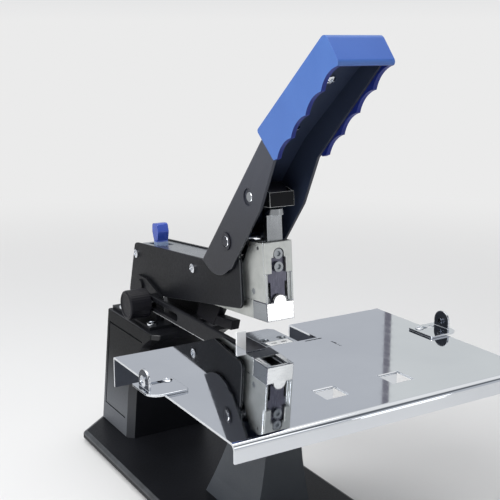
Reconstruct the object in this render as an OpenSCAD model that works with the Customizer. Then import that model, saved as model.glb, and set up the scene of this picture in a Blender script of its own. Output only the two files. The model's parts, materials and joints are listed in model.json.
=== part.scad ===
// Saddle stapler: a sprung stapling arm over a chrome table and an A-shaped saddle post,
// with a hand lever, a depth stop and a pedestal on a steel base. Units are millimetres.
// +Z is up, the front faces -Y, and the origin lies under the middle of the base.
// Shapes on the arm are drawn with the arm closed and level, then lifted to rest.

/* [Base] */
// Length of the base plate, front to back
base_l = 404; // [390:1:430]
// Width of the base plate
base_w = 142; // [120:1:170]
// Thickness of the base plate
base_t = 8; // [6:0.5:10]
// Corner chamfer of the base plate across its width
base_corner_x = 31; // [15:1:40]
// Corner chamfer of the base plate along its length
base_corner_y = 27; // [15:1:40]
// Bevel round the top edge of the base plate
base_bevel = 2; // [0.5:0.5:3]
// Height of the rubber feet
foot_h = 3; // [2:0.5:6]
// Diameter of the rubber feet
foot_d = 20; // [14:1:28]
// Distance of the feet from the sides of the base plate
foot_inset = 17; // [16:1:22]

/* [Layout] */
// Height of the table top over the surface it stands on
table_h = 156; // [140:1:175]
// Distance from the staple line back to the arm pivot
reach = 205; // [195:1:220]
// Distance from the arm pivot back to the rear edge of the base
rear_margin = 59; // [56:1:70]
// Angle the arm is lifted at rest
arm_open = 4.7; // [3.5:0.1:6]

/* [Column] */
// Width of the column cover
column_w = 84; // [80:1:100]
// Depth of the column top below the table top
column_drop = 26; // [24:0.5:30]
// Reach of the column top in front of the arm pivot
column_front = 73; // [66:1:80]
// Reach of the column top behind the arm pivot
column_rear = 29; // [28:1:34]
// Extra reach of the column foot at the back
column_flare = 24; // [10:1:26]
// Chamfer on the front edges of the column
column_chamfer = 6; // [3:0.5:8]
// Wall of the column cover
column_wall = 3; // [2:0.25:4]
// Width of the steel core inside the column
core_w = 64; // [60:1:70]
// Wall of the steel core
core_t = 4; // [3:0.5:6]

/* [Saddle post] */
// Half width of the saddle post at its top
post_top = 13.5; // [12:0.5:16]
// Half width of the saddle post at its foot
post_foot = 27; // [22:0.5:32]
// Reach of the post foot behind the staple line
post_rear = 69; // [55:1:80]
// Reach of the post in front of the staple line
post_front = 8; // [7:0.5:9]
// Height of the anvil block
anvil_h = 14; // [11:0.5:18]
// Depth of the anvil block behind the staple line
anvil_rear = 33; // [28:0.5:33]
// Size of the hardened anvil insert across the table
insert_w = 20; // [17:0.5:26]
// Size of the hardened anvil insert along the table
insert_l = 8; // [6:0.5:10]
// Depth of the anvil insert
insert_h = 4; // [3:0.5:6]

/* [Table] */
// Width of the table
table_w = 240; // [220:1:260]
// Reach of the table in front of the staple line
table_front = 140; // [130:1:150]
// Reach of the table behind the staple line
table_rear = 34; // [34:1:40]
// Thickness of the table sheet
table_t = 1.5; // [1:0.1:2]
// Depth of the flange along the front edge
front_flange = 12; // [8:1:16]
// Depth of the flanges along the rear edge
rear_flange = 23; // [15:1:26]
// Width of the slot that clears the saddle
slot_w = 62; // [58:1:66]
// Thickness of the bracket under the table
rest_t = 3; // [2.5:0.5:4]
// Travel of the table along its bracket
table_travel = 36; // [20:1:40]

/* [Side guides] */
// Distance of the guides in front of the staple line
guide_y = 40; // [36:1:50]
// Width of a guide plate along the table
guide_l = 28; // [24:1:32]
// Reach of a guide past the table edge
guide_out = 12; // [10:0.5:16]
// Reach of a guide over the table
guide_in = 16; // [14:0.5:20]
// Height of a guide ear
ear_h = 14.5; // [13:0.5:20]
// Thickness of a guide
guide_t = 1.6; // [1.2:0.1:2]
// Travel of a guide
guide_travel = 8; // [5:0.5:9]

/* [Arm] */
// Width of the arm over its covers
arm_w = 34; // [32:0.5:38]
// Thickness of the arm covers
cover_t = 2.5; // [2:0.25:3]
// Thickness of the arm frame
frame_t = 2.5; // [2:0.25:3]
// Height of the arm top over the table when closed
arm_top = 38.5; // [36:0.5:42]
// Distance from the arm pivot to the rear lower corner of the covers
arm_tail = 36; // [33:0.5:40]
// Diameter of the arm pivot pin
pivot_d = 8; // [6:0.5:9]
// Gap between the nose and the anvil when closed
paper_gap = 0.8; // [0.6:0.1:2]
// Height of the magazine
mag_h = 14; // [13:0.5:16]
// Wall of the magazine
mag_wall = 1.5; // [1:0.1:2]
// Length of the staple strip
strip_l = 50; // [30:1:60]

/* [Head] */
// Height of the head over its nose when closed
head_h = 60.4; // [58:0.2:62]
// Reach of the head in front of the staple line
head_front = 3.4; // [3.2:0.1:4.5]
// Reach of the head casting behind the staple line
head_rear = 32; // [30:0.5:34]
// Depth of the nose block from front to back
nose_l = 20; // [18:0.5:23]
// Width of the ram
ram_w = 13; // [11:0.5:14]
// Depth of the ram from front to back
ram_l = 6; // [5:0.25:7]
// Width of the driver plate
driver_w = 16.4; // [15:0.2:16.8]
// Thickness of the driver plate
driver_t = 1; // [0.8:0.1:1.2]
// Stroke of the ram
stroke = 14; // [10:0.5:14.5]

/* [Hand lever] */
// Distance of the lever shaft behind the staple line
lever_y = 40; // [39:0.5:43]
// Height of the lever shaft over the table when closed
lever_z = 58.3; // [57:0.5:60]
// Diameter of the lever shaft
shaft_d = 9; // [7:0.5:10]
// Thickness of the lever sheet
lever_t = 2.2; // [1.8:0.1:2.8]
// Diameter of the push pin
push_d = 8; // [6:0.5:9]
// Diameter of the recess round the push pin
push_recess = 13; // [11:0.5:14]
// Diameter of the push roller
roller_d = 19; // [17:0.5:20]
// Length of the push roller
roller_l = 18; // [14:0.5:24]
// Length of the grip
grip_l = 104; // [100:1:115]
// Wall of the grip along its sides
grip_t = 2.6; // [2:0.2:4]
// Wall of the grip along its back
grip_back = 5; // [3:0.5:6]
// Wall of the grip at its end
grip_end = 4; // [3:0.5:6]
// Thickness of the grip along its open edges
grip_lip = 6.2; // [5:0.2:8]
// Spacing of the finger hollows
finger_pitch = 23; // [20:0.5:24]
// Depth of the finger hollows
finger_depth = 3.2; // [1:0.2:4]

/* [Depth stop] */
// Thickness of the depth bar
bar_t = 4; // [3:0.5:5]
// Height of the depth bar
bar_h = 14; // [12:0.5:16]
// Travel of the depth bar
depth_travel = 55; // [30:1:60]
// Distance of the stop plate behind the staple line
stop_y = 13; // [12:0.5:20]
// Diameter of the clamp knob
knob_d = 26; // [20:0.5:27]
// Length of the clamp knob
knob_l = 20; // [9:0.5:24]
// Diameter of the clamp stud
stud_d = 6; // [5:0.5:7]

/* [Hidden] */
$fn = 48;
// Running fit of pins and shafts, on the radius
fit = 0.05;
// Gap between parts that move past each other
slack = 0.3;
// Gap between flat faces that slide on each other
glide = 0.1;
// Clearance of screw shanks in their holes, on the radius
hole_fit = 0.1;

// Frame of the bench: staple line on the table top
staple_y = base_l / 2 - rear_margin - reach;
base_z = foot_h + base_t - table_h;

// Widths across the arm
half = arm_w / 2;
frame_x = half - cover_t;
head_x = frame_x - frame_t;
side_gap = 0.4;
lever_in = half + side_gap;
lever_x = lever_in + lever_t;
bracket_t = 3;
bracket_x = half + side_gap + bracket_t;

// Side outline of the column cover
column_z = -column_drop;
column_x = column_w / 2;
toe_front = reach - 11;
toe_rear = reach + column_rear + column_flare;
knee = [reach - 19, base_z + 48];
lip = [reach - column_front + 2, column_z - 5];
swell = [reach - 33, column_z - 24];

// Screws on the column top
flange_t = 3;
bracket_screw_d = 4;
flange_x = column_x - 4;
bolt_x = flange_x - 5;
bolt_front = reach - 49;
bolt_rear = reach + 12;
flange_front = bolt_front - 7;
flange_rear = reach + 27;
core_top = column_z - column_wall;
core_front = reach - 3;
core_rear = reach + 23;
foot_t = 5;

// Depth bar beside the anvil
bar_gap = 1.5;
bar_out = slot_w / 2 - bar_gap;
bar_in = bar_out - bar_t;
bar_z = 1;
stud_y = reach - 35;
stud_z = bar_z - bar_h / 2;

// Anvil block and insert
anvil_x = 13.8;
anvil_front = insert_l / 2 + 1;
slot_front = anvil_front + 0.5;
anvil_screw = [7.5, anvil_front + 4];

// Bracket and runners under the table
rest_x = slot_w / 2 - 1;
rest_z = -table_t - glide;
runner_t = 3;
lip_l = 5;
runner_keep = 16;
rest_front = post_front + table_travel + runner_keep;

// Arm outline, closed
cover_front = 25;
low_front = 7.1;
tail_y = reach + arm_tail;
low_rear = -11.8;
crest_y = reach + 16;
brow_z = 46;
mag_z = paper_gap;
mag_top = mag_z + mag_h;
mag_rear = reach - 15;
rail_x = 5.6;
rail_h = 9;
rod_d = 3;
rod_z = mag_top + 4;
bulkhead_y = reach - 17;
cover_screws_at = [[reach + 12, 28.4], [103, 28.8]];
latch_at = [reach - 6, 28];
tab_w = 11;

// Head, front to back
face_y = -head_front;
plate_t = 2.4;
plate_back = face_y + plate_t;
driver_y = plate_back + 0.6;
ram_y = driver_y + driver_t;
well_x = driver_w / 2 + slack;
well_y = ram_y + ram_l + slack;
brow_low = 36.8;
cheek_t = 1.8;
shelf_z = mag_top + 3;
ram_low = 34;
neck_z = head_h - 2;
roller_gap = slack;
push_y = 4.5;
push_z = 94.5;
cap_top = push_z - roller_d / 2 - roller_gap;
cap_h = 4.6;
cap_r = 7.4;
ram_spring_x = 5.4;
spring_pocket = 12;
head_screw_z = [41.4, 51.2];
head_screw_d = 7.8;

// Lever outline, with the arm closed
heel = [82.6, 39.6];
grip_at = [-15.8, 142.8];
grip_lean = 35.4;
bend = grip_point(-4.5, -grip_back);
throat = [-32.3, 121.7];
jaw = [-11.8, 86.8];
chin = [34.3, 37.2];
sole = [57, 60];
sole_r = 30.4;
knuckle_first = 10.5;
knuckle_deep = 30.5;
knuckle_end = 24.3;
fingers = 4;

// Frames

module bench() {
    translate([0, staple_y, table_h]) children();
}

module arm() {
    bench() translate([0, reach, 0]) rotate([-arm_open, 0, 0]) translate([0, -reach, 0]) children();
}

// Grip frame: along the grip and out of its back
function grip_point(u, n) =
    grip_at + u * [-cos(grip_lean), sin(grip_lean)] + n * [sin(grip_lean), cos(grip_lean)];

module grip_frame() {
    translate([0, grip_at.x, grip_at.y]) rotate([-grip_lean, 0, 0]) mirror([0, 1, 0]) children();
}

// Shapes shared by several pieces

function unit(v) = v / norm(v);

// Points of an arc that rounds the corner b between a and c
function corner(a, b, c, r, steps = 6) =
    let (
        p = unit(a - b),
        q = unit(c - b),
        open = acos(p * q),
        hub = b + unit(p + q) * r / sin(open / 2),
        from = b + p * r / tan(open / 2) - hub,
        to = b + q * r / tan(open / 2) - hub,
        start = atan2(from.y, from.x),
        turn = atan2(to.y, to.x) - start,
        sweep = turn > 180 ? turn - 360 : turn < -180 ? turn + 360 : turn
    )
    [for (i = [0:steps]) hub + r * [cos(start + sweep * i / steps), sin(start + sweep * i / steps)]];

// Outline with rounded corners, from points that each carry a radius
function rounded(path) =
    let (n = len(path), at = [for (p = path) [p[0], p[1]]])
    [for (i = [0:n - 1])
        each path[i][2] > 0
            ? corner(at[(i + n - 1) % n], at[i], at[(i + 1) % n], path[i][2])
            : [at[i]]];

// Curve from a to c that bends towards b
function curve(a, b, c, steps = 10) =
    [for (i = [0:steps]) let (t = i / steps) (1 - t) * (1 - t) * a + 2 * t * (1 - t) * b + t * t * c];

// Side outline pushed out across the machine
module slab(x0, x1) {
    translate([x0, 0, 0]) rotate([90, 0, 90]) linear_extrude(x1 - x0) children();
}

// Round bar or bore across the machine
module cross(at, d, x0, x1) {
    translate([x0, at.x, at.y]) rotate([0, 90, 0]) cylinder(d = d, h = x1 - x0);
}

// Round bar or bore along the machine, from y towards the back
module lengthwise(y, z, d, l) {
    translate([0, y, z]) rotate([-90, 0, 0]) cylinder(d = d, h = l);
}

module box(x, y, z) {
    translate([x[0], y[0], z[0]]) cube([x[1] - x[0], y[1] - y[0], z[1] - z[0]]);
}

module both_sides() {
    children();
    mirror([1, 0, 0]) children();
}

// Solid through a stack of outlines that have the same number of points
module loft(rings) {
    n = len(rings[0]);
    m = len(rings);
    sides = [for (i = [0:m - 2], j = [0:n - 1])
        let (a = i * n + j, b = i * n + (j + 1) % n)
        each [[a, a + n, b + n], [a, b + n, b]]];
    first = [for (j = [0:n - 1]) j];
    last = [for (j = [n - 1:-1:0]) (m - 1) * n + j];
    polyhedron([for (r = rings) each r], concat([first], sides, [last]), convexity = 6);
}

// Screw with a domed head and a cross recess, its head on z = 0 and its shank below
module dome_screw(d, head_d, head_h, l) {
    recess = head_d / 6;
    difference() {
        union() {
            translate([0, 0, -l]) cylinder(d = d, h = l);
            intersection() {
                cylinder(d = head_d, h = head_h);
                translate([0, 0, head_h - head_d]) sphere(r = head_d, $fn = 64);
            }
        }
        for (turn = [0, 90]) {
            rotate([0, 0, turn]) {
                box([-head_d / 3, head_d / 3], [-recess / 2, recess / 2], [head_h * 0.45, head_h + 1]);
            }
        }
    }
}

// Socket screw, its head standing on z = 0 and its shank below
module socket_screw(d, head_d, head_h, l) {
    difference() {
        union() {
            translate([0, 0, -l]) cylinder(d = d, h = l);
            cylinder(d = head_d, h = head_h);
        }
        translate([0, 0, head_h * 0.4]) cylinder(d = head_d * 0.55, h = head_h, $fn = 6);
    }
}

// Points along a coil that climbs from z = 0
function coil_points(r, pitch, curls) =
    [for (i = [0:8 * curls]) [r * cos(45 * i), r * sin(45 * i), pitch * i / 8]];

// Least gap between neighbouring curls
function coil_gap(r, pitch, curls, wire) =
    let (p = coil_points(r, pitch, curls))
    min([for (i = [0:8 * curls], k = [6:10]) if (i + k <= 8 * curls) norm(p[i] - p[i + k])]) - wire;

// Coil spring: one tube of six sides, eight rings a curl
module coil(r, pitch, curls, wire) {
    p = coil_points(r, pitch, curls);
    m = len(p);
    slope = atan2(pitch, 2 * PI * r);
    rings = [for (i = [0:m - 1])
        let (
            out = [cos(45 * i), sin(45 * i), 0],
            up = [sin(45 * i) * sin(slope), -cos(45 * i) * sin(slope), cos(slope)]
        )
        [for (k = [0:5]) p[i] + wire / 2 * (cos(60 * k) * out + sin(60 * k) * up)]];
    sides = [for (i = [0:m - 2], k = [0:5])
        let (a = i * 6 + k, b = i * 6 + (k + 1) % 6)
        each [[a, b + 6, a + 6], [a, b, b + 6]]];
    first = [for (k = [1:4]) [0, k + 1, k]];
    last = [for (k = [1:4]) [(m - 1) * 6, (m - 1) * 6 + k, (m - 1) * 6 + k + 1]];
    polyhedron([for (r = rings) each r], concat(sides, first, last), convexity = 10);
}

// Base and column

screw_d = 6;
bore_head = 11;
bore_deep = 4.5;
core_screw = [20, (core_front + core_rear) / 2];
post_screw_y = [12, 48];

function base_outline(inset) =
    let (x = base_w / 2 - inset, y = base_l / 2 - inset, cx = base_corner_x, cy = base_corner_y)
    [
        [-x + cx, -y], [x - cx, -y], [x, -y + cy], [x, y - cy],
        [x - cx, y], [-x + cx, y], [-x, y - cy], [-x, -y + cy]
    ];

// Places of the screws that come up through the base
module at_base_screws() {
    for (x = [-core_screw.x, core_screw.x]) {
        translate([x, staple_y + core_screw.y, foot_h]) children();
    }
    for (y = post_screw_y) {
        translate([0, staple_y + y, foot_h]) children();
    }
}

module base_plate() {
    color("#33363A") difference() {
        translate([0, 0, foot_h]) hull() {
            linear_extrude(base_t - base_bevel) polygon(base_outline(0));
            linear_extrude(base_t) polygon(base_outline(base_bevel));
        }
        at_base_screws() {
            translate([0, 0, -1]) cylinder(d = screw_d + 2 * hole_fit, h = base_t + 2);
            translate([0, 0, -1]) cylinder(d = bore_head, h = bore_deep + 1);
        }
    }
}

module rubber_feet() {
    x = base_w / 2 - foot_inset;
    y = base_l / 2 - base_corner_y - 7;
    color("#1B1B1C") for (sx = [-1, 1], sy = [-1, 1]) {
        translate([sx * x, sy * y, 0]) cylinder(d = foot_d, h = foot_h);
    }
}

module base_screws() {
    color("#8B8E92") at_base_screws() {
        translate([0, 0, bore_deep]) rotate([180, 0, 0]) {
            socket_screw(screw_d, bore_head - 1, bore_deep - 0.5, base_t - bore_deep + foot_t);
        }
    }
}

// Places of the screws on the column top
module at_bracket_screws() {
    for (x = [-bolt_x, bolt_x], y = [bolt_front, bolt_rear]) {
        translate([x, y, column_z]) children();
    }
}

// Hole for a bracket screw, right through the bracket, the cover and the core
module bracket_hole() {
    deep = column_wall + core_t + 1;
    translate([0, 0, -deep]) cylinder(d = bracket_screw_d + 2 * hole_fit, h = deep + flange_t + 1);
}

module column_core() {
    x = core_w / 2;
    color("#6A6E72") bench() difference() {
        union() {
            difference() {
                box([-x, x], [core_front, core_rear], [base_z, core_top]);
                box(
                    [core_t - x, x - core_t],
                    [core_front + core_t, core_rear - core_t],
                    [base_z + foot_t, core_top - core_t]
                );
            }
            box([-bolt_x - 5, bolt_x + 5], [bolt_front - 5, bolt_rear + 5], [core_top - core_t, core_top]);
        }
        at_bracket_screws() bracket_hole();
        for (sx = [-1, 1]) {
            translate([sx * core_screw.x, core_screw.y, base_z - 1]) {
                cylinder(d = screw_d + 2 * hole_fit, h = foot_t + 2);
            }
        }
    }
}

// Side outline of the column, its front moved back and its walls moved in
function column_outline(back, wall, drop = 0) =
    let (
        in = [back + wall, 0],
        front = curve(lip + in, swell + in, knee + in)
    )
    concat(
        [
            [toe_front, base_z - drop] + in,
            [toe_rear - wall, base_z - drop],
            [reach + column_rear - wall, column_z - wall],
            [reach - column_front, column_z - wall] + in
        ],
        front
    );

function column_ring(x, back) = [for (p = column_outline(back, 0)) [x, p.x, p.y]];

// Solid column with chamfered front edges
module column_block() {
    step = column_chamfer;
    loft([
        column_ring(-column_x, step), column_ring(step - column_x, 0),
        column_ring(column_x - step, 0), column_ring(column_x, step)
    ]);
}

module column_cover() {
    color("#2E2F31") bench() difference() {
        column_block();
        slab(column_wall - column_x, column_x - column_wall) {
            polygon(column_outline(column_chamfer, column_wall, 10));
        }
        at_bracket_screws() bracket_hole();
    }
}

// Saddle post and anvil

post_neck = 13;

function post_ring(t) =
    let (
        x = post_top + (post_foot - post_top) * pow(1 - t, 2.6),
        rear = post_rear + (post_neck - post_rear) * t,
        z = base_z + (-anvil_h - base_z) * t
    )
    [[-x, -post_front, z], [x, -post_front, z], [x, rear, z], [-x, rear, z]];

bolt_z = [-22, -38];
bolt_d = 5;

// Places of the bolts on the front of the post, their shanks running back
module at_table_bolts() {
    for (z = bolt_z) {
        translate([0, -post_front, z]) rotate([90, 0, 0]) children();
    }
}

module front_post() {
    color("#5D6264") bench() difference() {
        loft([for (i = [0:8]) post_ring(i / 8)]);
        for (y = post_screw_y) {
            translate([0, y, base_z - 1]) cylinder(d = screw_d + 2 * hole_fit, h = 16);
        }
        for (sx = [-1, 1]) {
            translate([sx * anvil_screw.x, anvil_screw.y, -anvil_h - 13]) {
                cylinder(d = 4 + 2 * hole_fit, h = 14);
            }
        }
        at_table_bolts() translate([0, 0, -13]) cylinder(d = bolt_d + 2 * hole_fit, h = 14);
    }
}

anvil_seat = 3.6;

module anvil_block() {
    corner_cut = 4;
    color("#9EA2A6") bench() difference() {
        translate([0, 0, -anvil_h]) linear_extrude(anvil_h) polygon([
            [-anvil_x, -anvil_front], [anvil_x, -anvil_front], [anvil_x, anvil_rear - corner_cut],
            [anvil_x - corner_cut, anvil_rear], [corner_cut - anvil_x, anvil_rear],
            [-anvil_x, anvil_rear - corner_cut]
        ]);
        box([-insert_w / 2, insert_w / 2], [-insert_l / 2, insert_l / 2], [-insert_h, 1]);
        for (sx = [-1, 1]) {
            translate([sx * anvil_screw.x, anvil_screw.y, 0]) {
                translate([0, 0, -anvil_h - 1]) cylinder(d = 4 + 2 * hole_fit, h = anvil_h + 2);
                translate([0, 0, -anvil_seat]) cylinder(d = 7.2, h = anvil_seat + 1);
            }
        }
    }
}

module anvil_insert() {
    color("#C9CCCE") bench() difference() {
        box([-insert_w / 2, insert_w / 2], [-insert_l / 2, insert_l / 2], [-insert_h, 0]);
        for (sx = [-1, 1]) {
            translate([sx * 4.3, 0, 4.2]) rotate([90, 0, 0]) cylinder(r = 5, h = 2.4, center = true);
        }
    }
}

module anvil_screws() {
    color("#7C7F83") bench() for (sx = [-1, 1]) {
        translate([sx * anvil_screw.x, anvil_screw.y, -anvil_seat]) {
            socket_screw(4, 7, 3, anvil_h - anvil_seat + 11);
        }
    }
}

module table_bracket() {
    leg_x = 12;
    leg_low = -45;
    color("#2B2D30") bench() difference() {
        union() {
            box([-rest_x, rest_x], [-rest_front, -post_front], [rest_z - rest_t, rest_z]);
            box([-leg_x, leg_x], [-post_front - rest_t, -post_front], [leg_low, rest_z]);
            both_sides() slab(leg_x - rest_t, leg_x) polygon([
                [-post_front - rest_t, leg_low],
                [-post_front - rest_t, rest_z - rest_t],
                [-rest_front * 0.75, rest_z - rest_t]
            ]);
        }
        at_table_bolts() translate([0, 0, -1]) cylinder(d = bolt_d + 2 * hole_fit, h = rest_t + 2);
    }
}

module table_bolts() {
    color("#8B8E92") bench() at_table_bolts() {
        translate([0, 0, rest_t]) socket_screw(bolt_d, 8.5, 5, rest_t + 11);
    }
}

// Arm bracket, pin and lift spring

module top_bracket() {
    block = 14;
    top = 5;
    color("#1D1E20") bench() difference() {
        union() {
            box([-flange_x, flange_x], [flange_front, flange_rear], [column_z, column_z + flange_t]);
            both_sides() slab(half + side_gap, bracket_x) polygon(rounded([
                [stud_y - block / 2, column_z + 1, 0], [reach + 24, column_z + 1, 0], [reach + 10, 9, 7],
                [reach - 12, 9, 5], [stud_y - block / 2, stud_z + top, 4]
            ]));
            box(
                [slack - bar_in, -half - side_gap - 1],
                [stud_y - block / 2, stud_y + block / 2],
                [column_z + 1, stud_z + top]
            );
        }
        cross([reach, 0], pivot_d + 2 * fit, -bracket_x - 1, bracket_x + 1);
        cross([stud_y, stud_z], stud_d + 2 * fit, -bar_in, -half);
        at_bracket_screws() bracket_hole();
    }
}

module bracket_screws() {
    color("#D5D8DA") bench() at_bracket_screws() {
        translate([0, 0, flange_t]) dome_screw(bracket_screw_d, 8.5, 3, flange_t + column_wall + core_t);
    }
}

module arm_pivot_pin() {
    color("#B9BCBF") bench() {
        cross([reach, 0], pivot_d, -bracket_x, bracket_x);
        both_sides() cross([reach, 0], pivot_d + 4, bracket_x, bracket_x + 2);
    }
}

arm_coil_wire = 2;
arm_coil_r = pivot_d / 2 + arm_coil_wire / 2 + 1.2;
arm_coil_pitch = 3;
arm_coil_curls = 6;

module arm_spring() {
    color("#77797C") bench() translate([-arm_coil_pitch * arm_coil_curls / 2, reach, 0]) rotate([0, 90, 0]) {
        coil(arm_coil_r, arm_coil_pitch, arm_coil_curls, arm_coil_wire);
    }
}

// Arm

bush_d = pivot_d + 4;

function cover_outline() = rounded([
    [cover_front, low_front, 6], [tail_y, low_rear, 3], [crest_y, arm_top, 5],
    [lever_y + 32, arm_top, 6], [lever_y + 6, brow_z, 5], [cover_front, brow_z, 3]
]);

// Places of the screws in the arm covers, seen from the side
module at_cover_screws() {
    for (at = cover_screws_at) {
        translate([0, at.x, at.y]) rotate([0, 90, 0]) children();
    }
}

// Right-hand cover; the left-hand one is its mirror image
module arm_cover() {
    difference() {
        slab(frame_x, half) polygon(cover_outline());
        cross([reach, 0], bush_d + 2 * hole_fit, frame_x - 1, half + 1);
        at_cover_screws() cylinder(d = 4 + 2 * hole_fit, h = half + 1);
    }
}

module arm_cover_right() {
    color("#323335") arm() arm_cover();
}

module arm_cover_left() {
    color("#323335") arm() mirror([1, 0, 0]) arm_cover();
}

latch_d = 3;
web_top = arm_top - 1;
ear_r = shaft_d / 2 + 5;

module arm_frame() {
    color("#5F6368") arm() difference() {
        union() {
            both_sides() slab(head_x, frame_x) {
                polygon([
                    [cover_front + 5, low_front + 5], [tail_y - 6, low_rear + 4], [crest_y - 3, web_top],
                    [lever_y + 26, web_top], [lever_y + ear_r, lever_z], [lever_y - ear_r, lever_z],
                    [cover_front + 5, brow_z - 4]
                ]);
                translate([lever_y, lever_z]) circle(r = ear_r);
            }
            difference() {
                box([-head_x - 0.5, head_x + 0.5], [lever_y + 28, crest_y - 3], [web_top - frame_t, web_top]);
                box(
                    [-tab_w / 2 - 1.5, tab_w / 2 + 1.5],
                    [latch_at.x - 13, latch_at.x + 14],
                    [web_top - frame_t - 1, web_top + 1]
                );
            }
            box([-head_x - 0.5, head_x + 0.5], [bulkhead_y, bulkhead_y + frame_t], [mag_top, web_top - 1]);
        }
        cross([reach, 0], bush_d + 2 * hole_fit, -half, half);
        cross([lever_y, lever_z], shaft_d + 2 * fit, -half, half);
        cross(latch_at, latch_d + 2 * hole_fit, -half, half);
        both_sides() at_cover_screws() cylinder(d = 4 + 2 * hole_fit, h = half + 1);
        lengthwise(bulkhead_y - 1, rod_z, rod_d + 2 * hole_fit, frame_t + 2);
    }
}

module pivot_bushes() {
    color("#B08D57") arm() both_sides() difference() {
        cross([reach, 0], bush_d, head_x - 1, half);
        cross([reach, 0], pivot_d + 2 * fit, head_x - 2, half + 1);
    }
}

module cover_screws() {
    color("#D5D8DA") arm() both_sides() at_cover_screws() {
        translate([0, 0, half]) dome_screw(4, 8, 2.6, cover_t + frame_t + 1);
    }
}

module latch_pin() {
    color("#9EA2A6") arm() cross(latch_at, latch_d, -frame_x, frame_x);
}

module latch_tab() {
    color("#3A56C0") arm() difference() {
        slab(-tab_w / 2, tab_w / 2) translate(latch_at) polygon(rounded([
            [-4.5, -5, 3], [4.5, -5, 3], [3.5, 13, 2], [6.5, 21, 4],
            [5.5, 29, 3], [-4.5, 29, 3], [-6.5, 21, 4], [-3.5, 13, 2]
        ]));
        cross(latch_at, latch_d + 2 * fit, -tab_w, tab_w);
    }
}

// Magazine

nose_rear = face_y + nose_l;
floor_z = mag_z + mag_wall;
rail_top = floor_z + rail_h;
rail_front = ram_y + 0.4;
mag_back = 2;
staple_wire = 0.65;
staple_gap = 0.15;

module magazine() {
    color("#8E9296") arm() difference() {
        box([-head_x, head_x], [nose_rear, mag_rear], [mag_z, mag_top]);
        box(
            [mag_wall - head_x, head_x - mag_wall],
            [nose_rear - 1, mag_rear - mag_back],
            [floor_z, mag_top + 1]
        );
    }
}

module staple_rail() {
    wall = 1.2;
    color("#A9ADB1") arm() difference() {
        box([-rail_x, rail_x], [rail_front, mag_rear - mag_back], [floor_z, rail_top]);
        box(
            [wall - rail_x, rail_x - wall],
            [rail_front - 1, mag_rear - mag_back - wall],
            [floor_z - 1, rail_top - wall]
        );
    }
}

module staple_strip() {
    x = rail_x + staple_gap;
    z = rail_top + staple_gap;
    color("#C9CCCE") arm() difference() {
        box(
            [-x - staple_wire, x + staple_wire],
            [rail_front, rail_front + strip_l],
            [floor_z + slack, z + staple_wire]
        );
        box([-x, x], [rail_front - 1, rail_front + strip_l + 1], [0, z]);
    }
}

pusher_y = rail_front + strip_l + slack;
pusher_l = 14;

module pusher() {
    x = head_x - mag_wall - slack;
    color("#26282B") arm() difference() {
        union() {
            box([-x, x], [pusher_y, pusher_y + pusher_l], [floor_z + slack, mag_top]);
            box([-5, 5], [pusher_y, pusher_y + pusher_l], [mag_top - 1, rod_z + rod_d / 2 + 3]);
        }
        box(
            [-rail_x - slack, rail_x + slack],
            [pusher_y - 1, pusher_y + pusher_l + 1],
            [0, rail_top + slack]
        );
        lengthwise(pusher_y - 1, rod_z, rod_d + 2 * fit, pusher_l + 2);
    }
}

rod_seat = 4;

module pusher_rod() {
    color("#B9BCBF") arm() {
        lengthwise(head_rear - rod_seat, rod_z, rod_d, bulkhead_y + frame_t + 2 - head_rear + rod_seat);
    }
}

push_coil_wire = 0.9;
push_coil_r = rod_d / 2 + 1.6;
push_coil_curls = 22;
push_coil_from = pusher_y + pusher_l + slack + push_coil_wire / 2;
push_coil_pitch = (bulkhead_y - push_coil_wire / 2 - push_coil_from) / push_coil_curls;

module pusher_spring() {
    color("#8B8E92") arm() translate([0, push_coil_from, rod_z]) rotate([-90, 0, 0]) {
        coil(push_coil_r, push_coil_pitch, push_coil_curls, push_coil_wire);
    }
}

catch_x = 4;
catch_front = 80;
catch_l = 36;
catch_h = 22;
catch_rake = 18;
catch_heel = 12;
catch_rise = 4;
pad_l = 26;
pad_from = 12;
pad_to = 20.5;
pad_slant = 4;

// Point on the front edge of the catch, a given depth below the magazine
function catch_edge(drop) = [catch_front + catch_rake * drop / catch_h, mag_z - drop];

module magazine_catch() {
    rear = catch_front + catch_l;
    color("#1B1C1E") arm() slab(-catch_x, catch_x) polygon([
        catch_edge(0), catch_edge(catch_h), [rear + catch_heel, mag_z - catch_h + catch_rise], [rear, mag_z]
    ]);
}

module catch_pad() {
    color("#232426") arm() slab(-catch_x, catch_x) polygon([
        catch_edge(pad_from) - [pad_l, 0], catch_edge(pad_to) - [pad_l + catch_rake * 0.4 - pad_slant, 0],
        catch_edge(pad_to), catch_edge(pad_from)
    ]);
}

// Head

head_top = head_h;
dowel_l = 2.8;
dowel_sunk = 0.4;
// Place and diameter of each dowel
dowels = [[6.5, head_top - 4.7, 3], [15, mag_top + 7.1, 5]];

module head_casting() {
    color("#AFB2AF") arm() difference() {
        union() {
            slab(-head_x, head_x) polygon([
                [plate_back, mag_top], [head_rear, mag_top], [head_rear, head_top - 21],
                [head_rear - 4, head_top - 17.4], [head_rear - 15, head_top], [plate_back, head_top]
            ]);
            both_sides() box([head_x - cheek_t, head_x], [face_y, plate_back + 1], [mag_top, brow_low]);
        }
        box([-well_x, well_x], [plate_back - 1, well_y], [shelf_z, head_top + 1]);
        box([-well_x, well_x], [plate_back - 1, ram_y + slack], [mag_top - 1, shelf_z + 1]);
        both_sides() for (at = dowels) {
            cross(at, at.z + 2 * hole_fit, head_x - dowel_l, head_x + 1);
        }
        lengthwise(head_rear - rod_seat, rod_z, rod_d + 2 * hole_fit, rod_seat + 1);
    }
}

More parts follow.
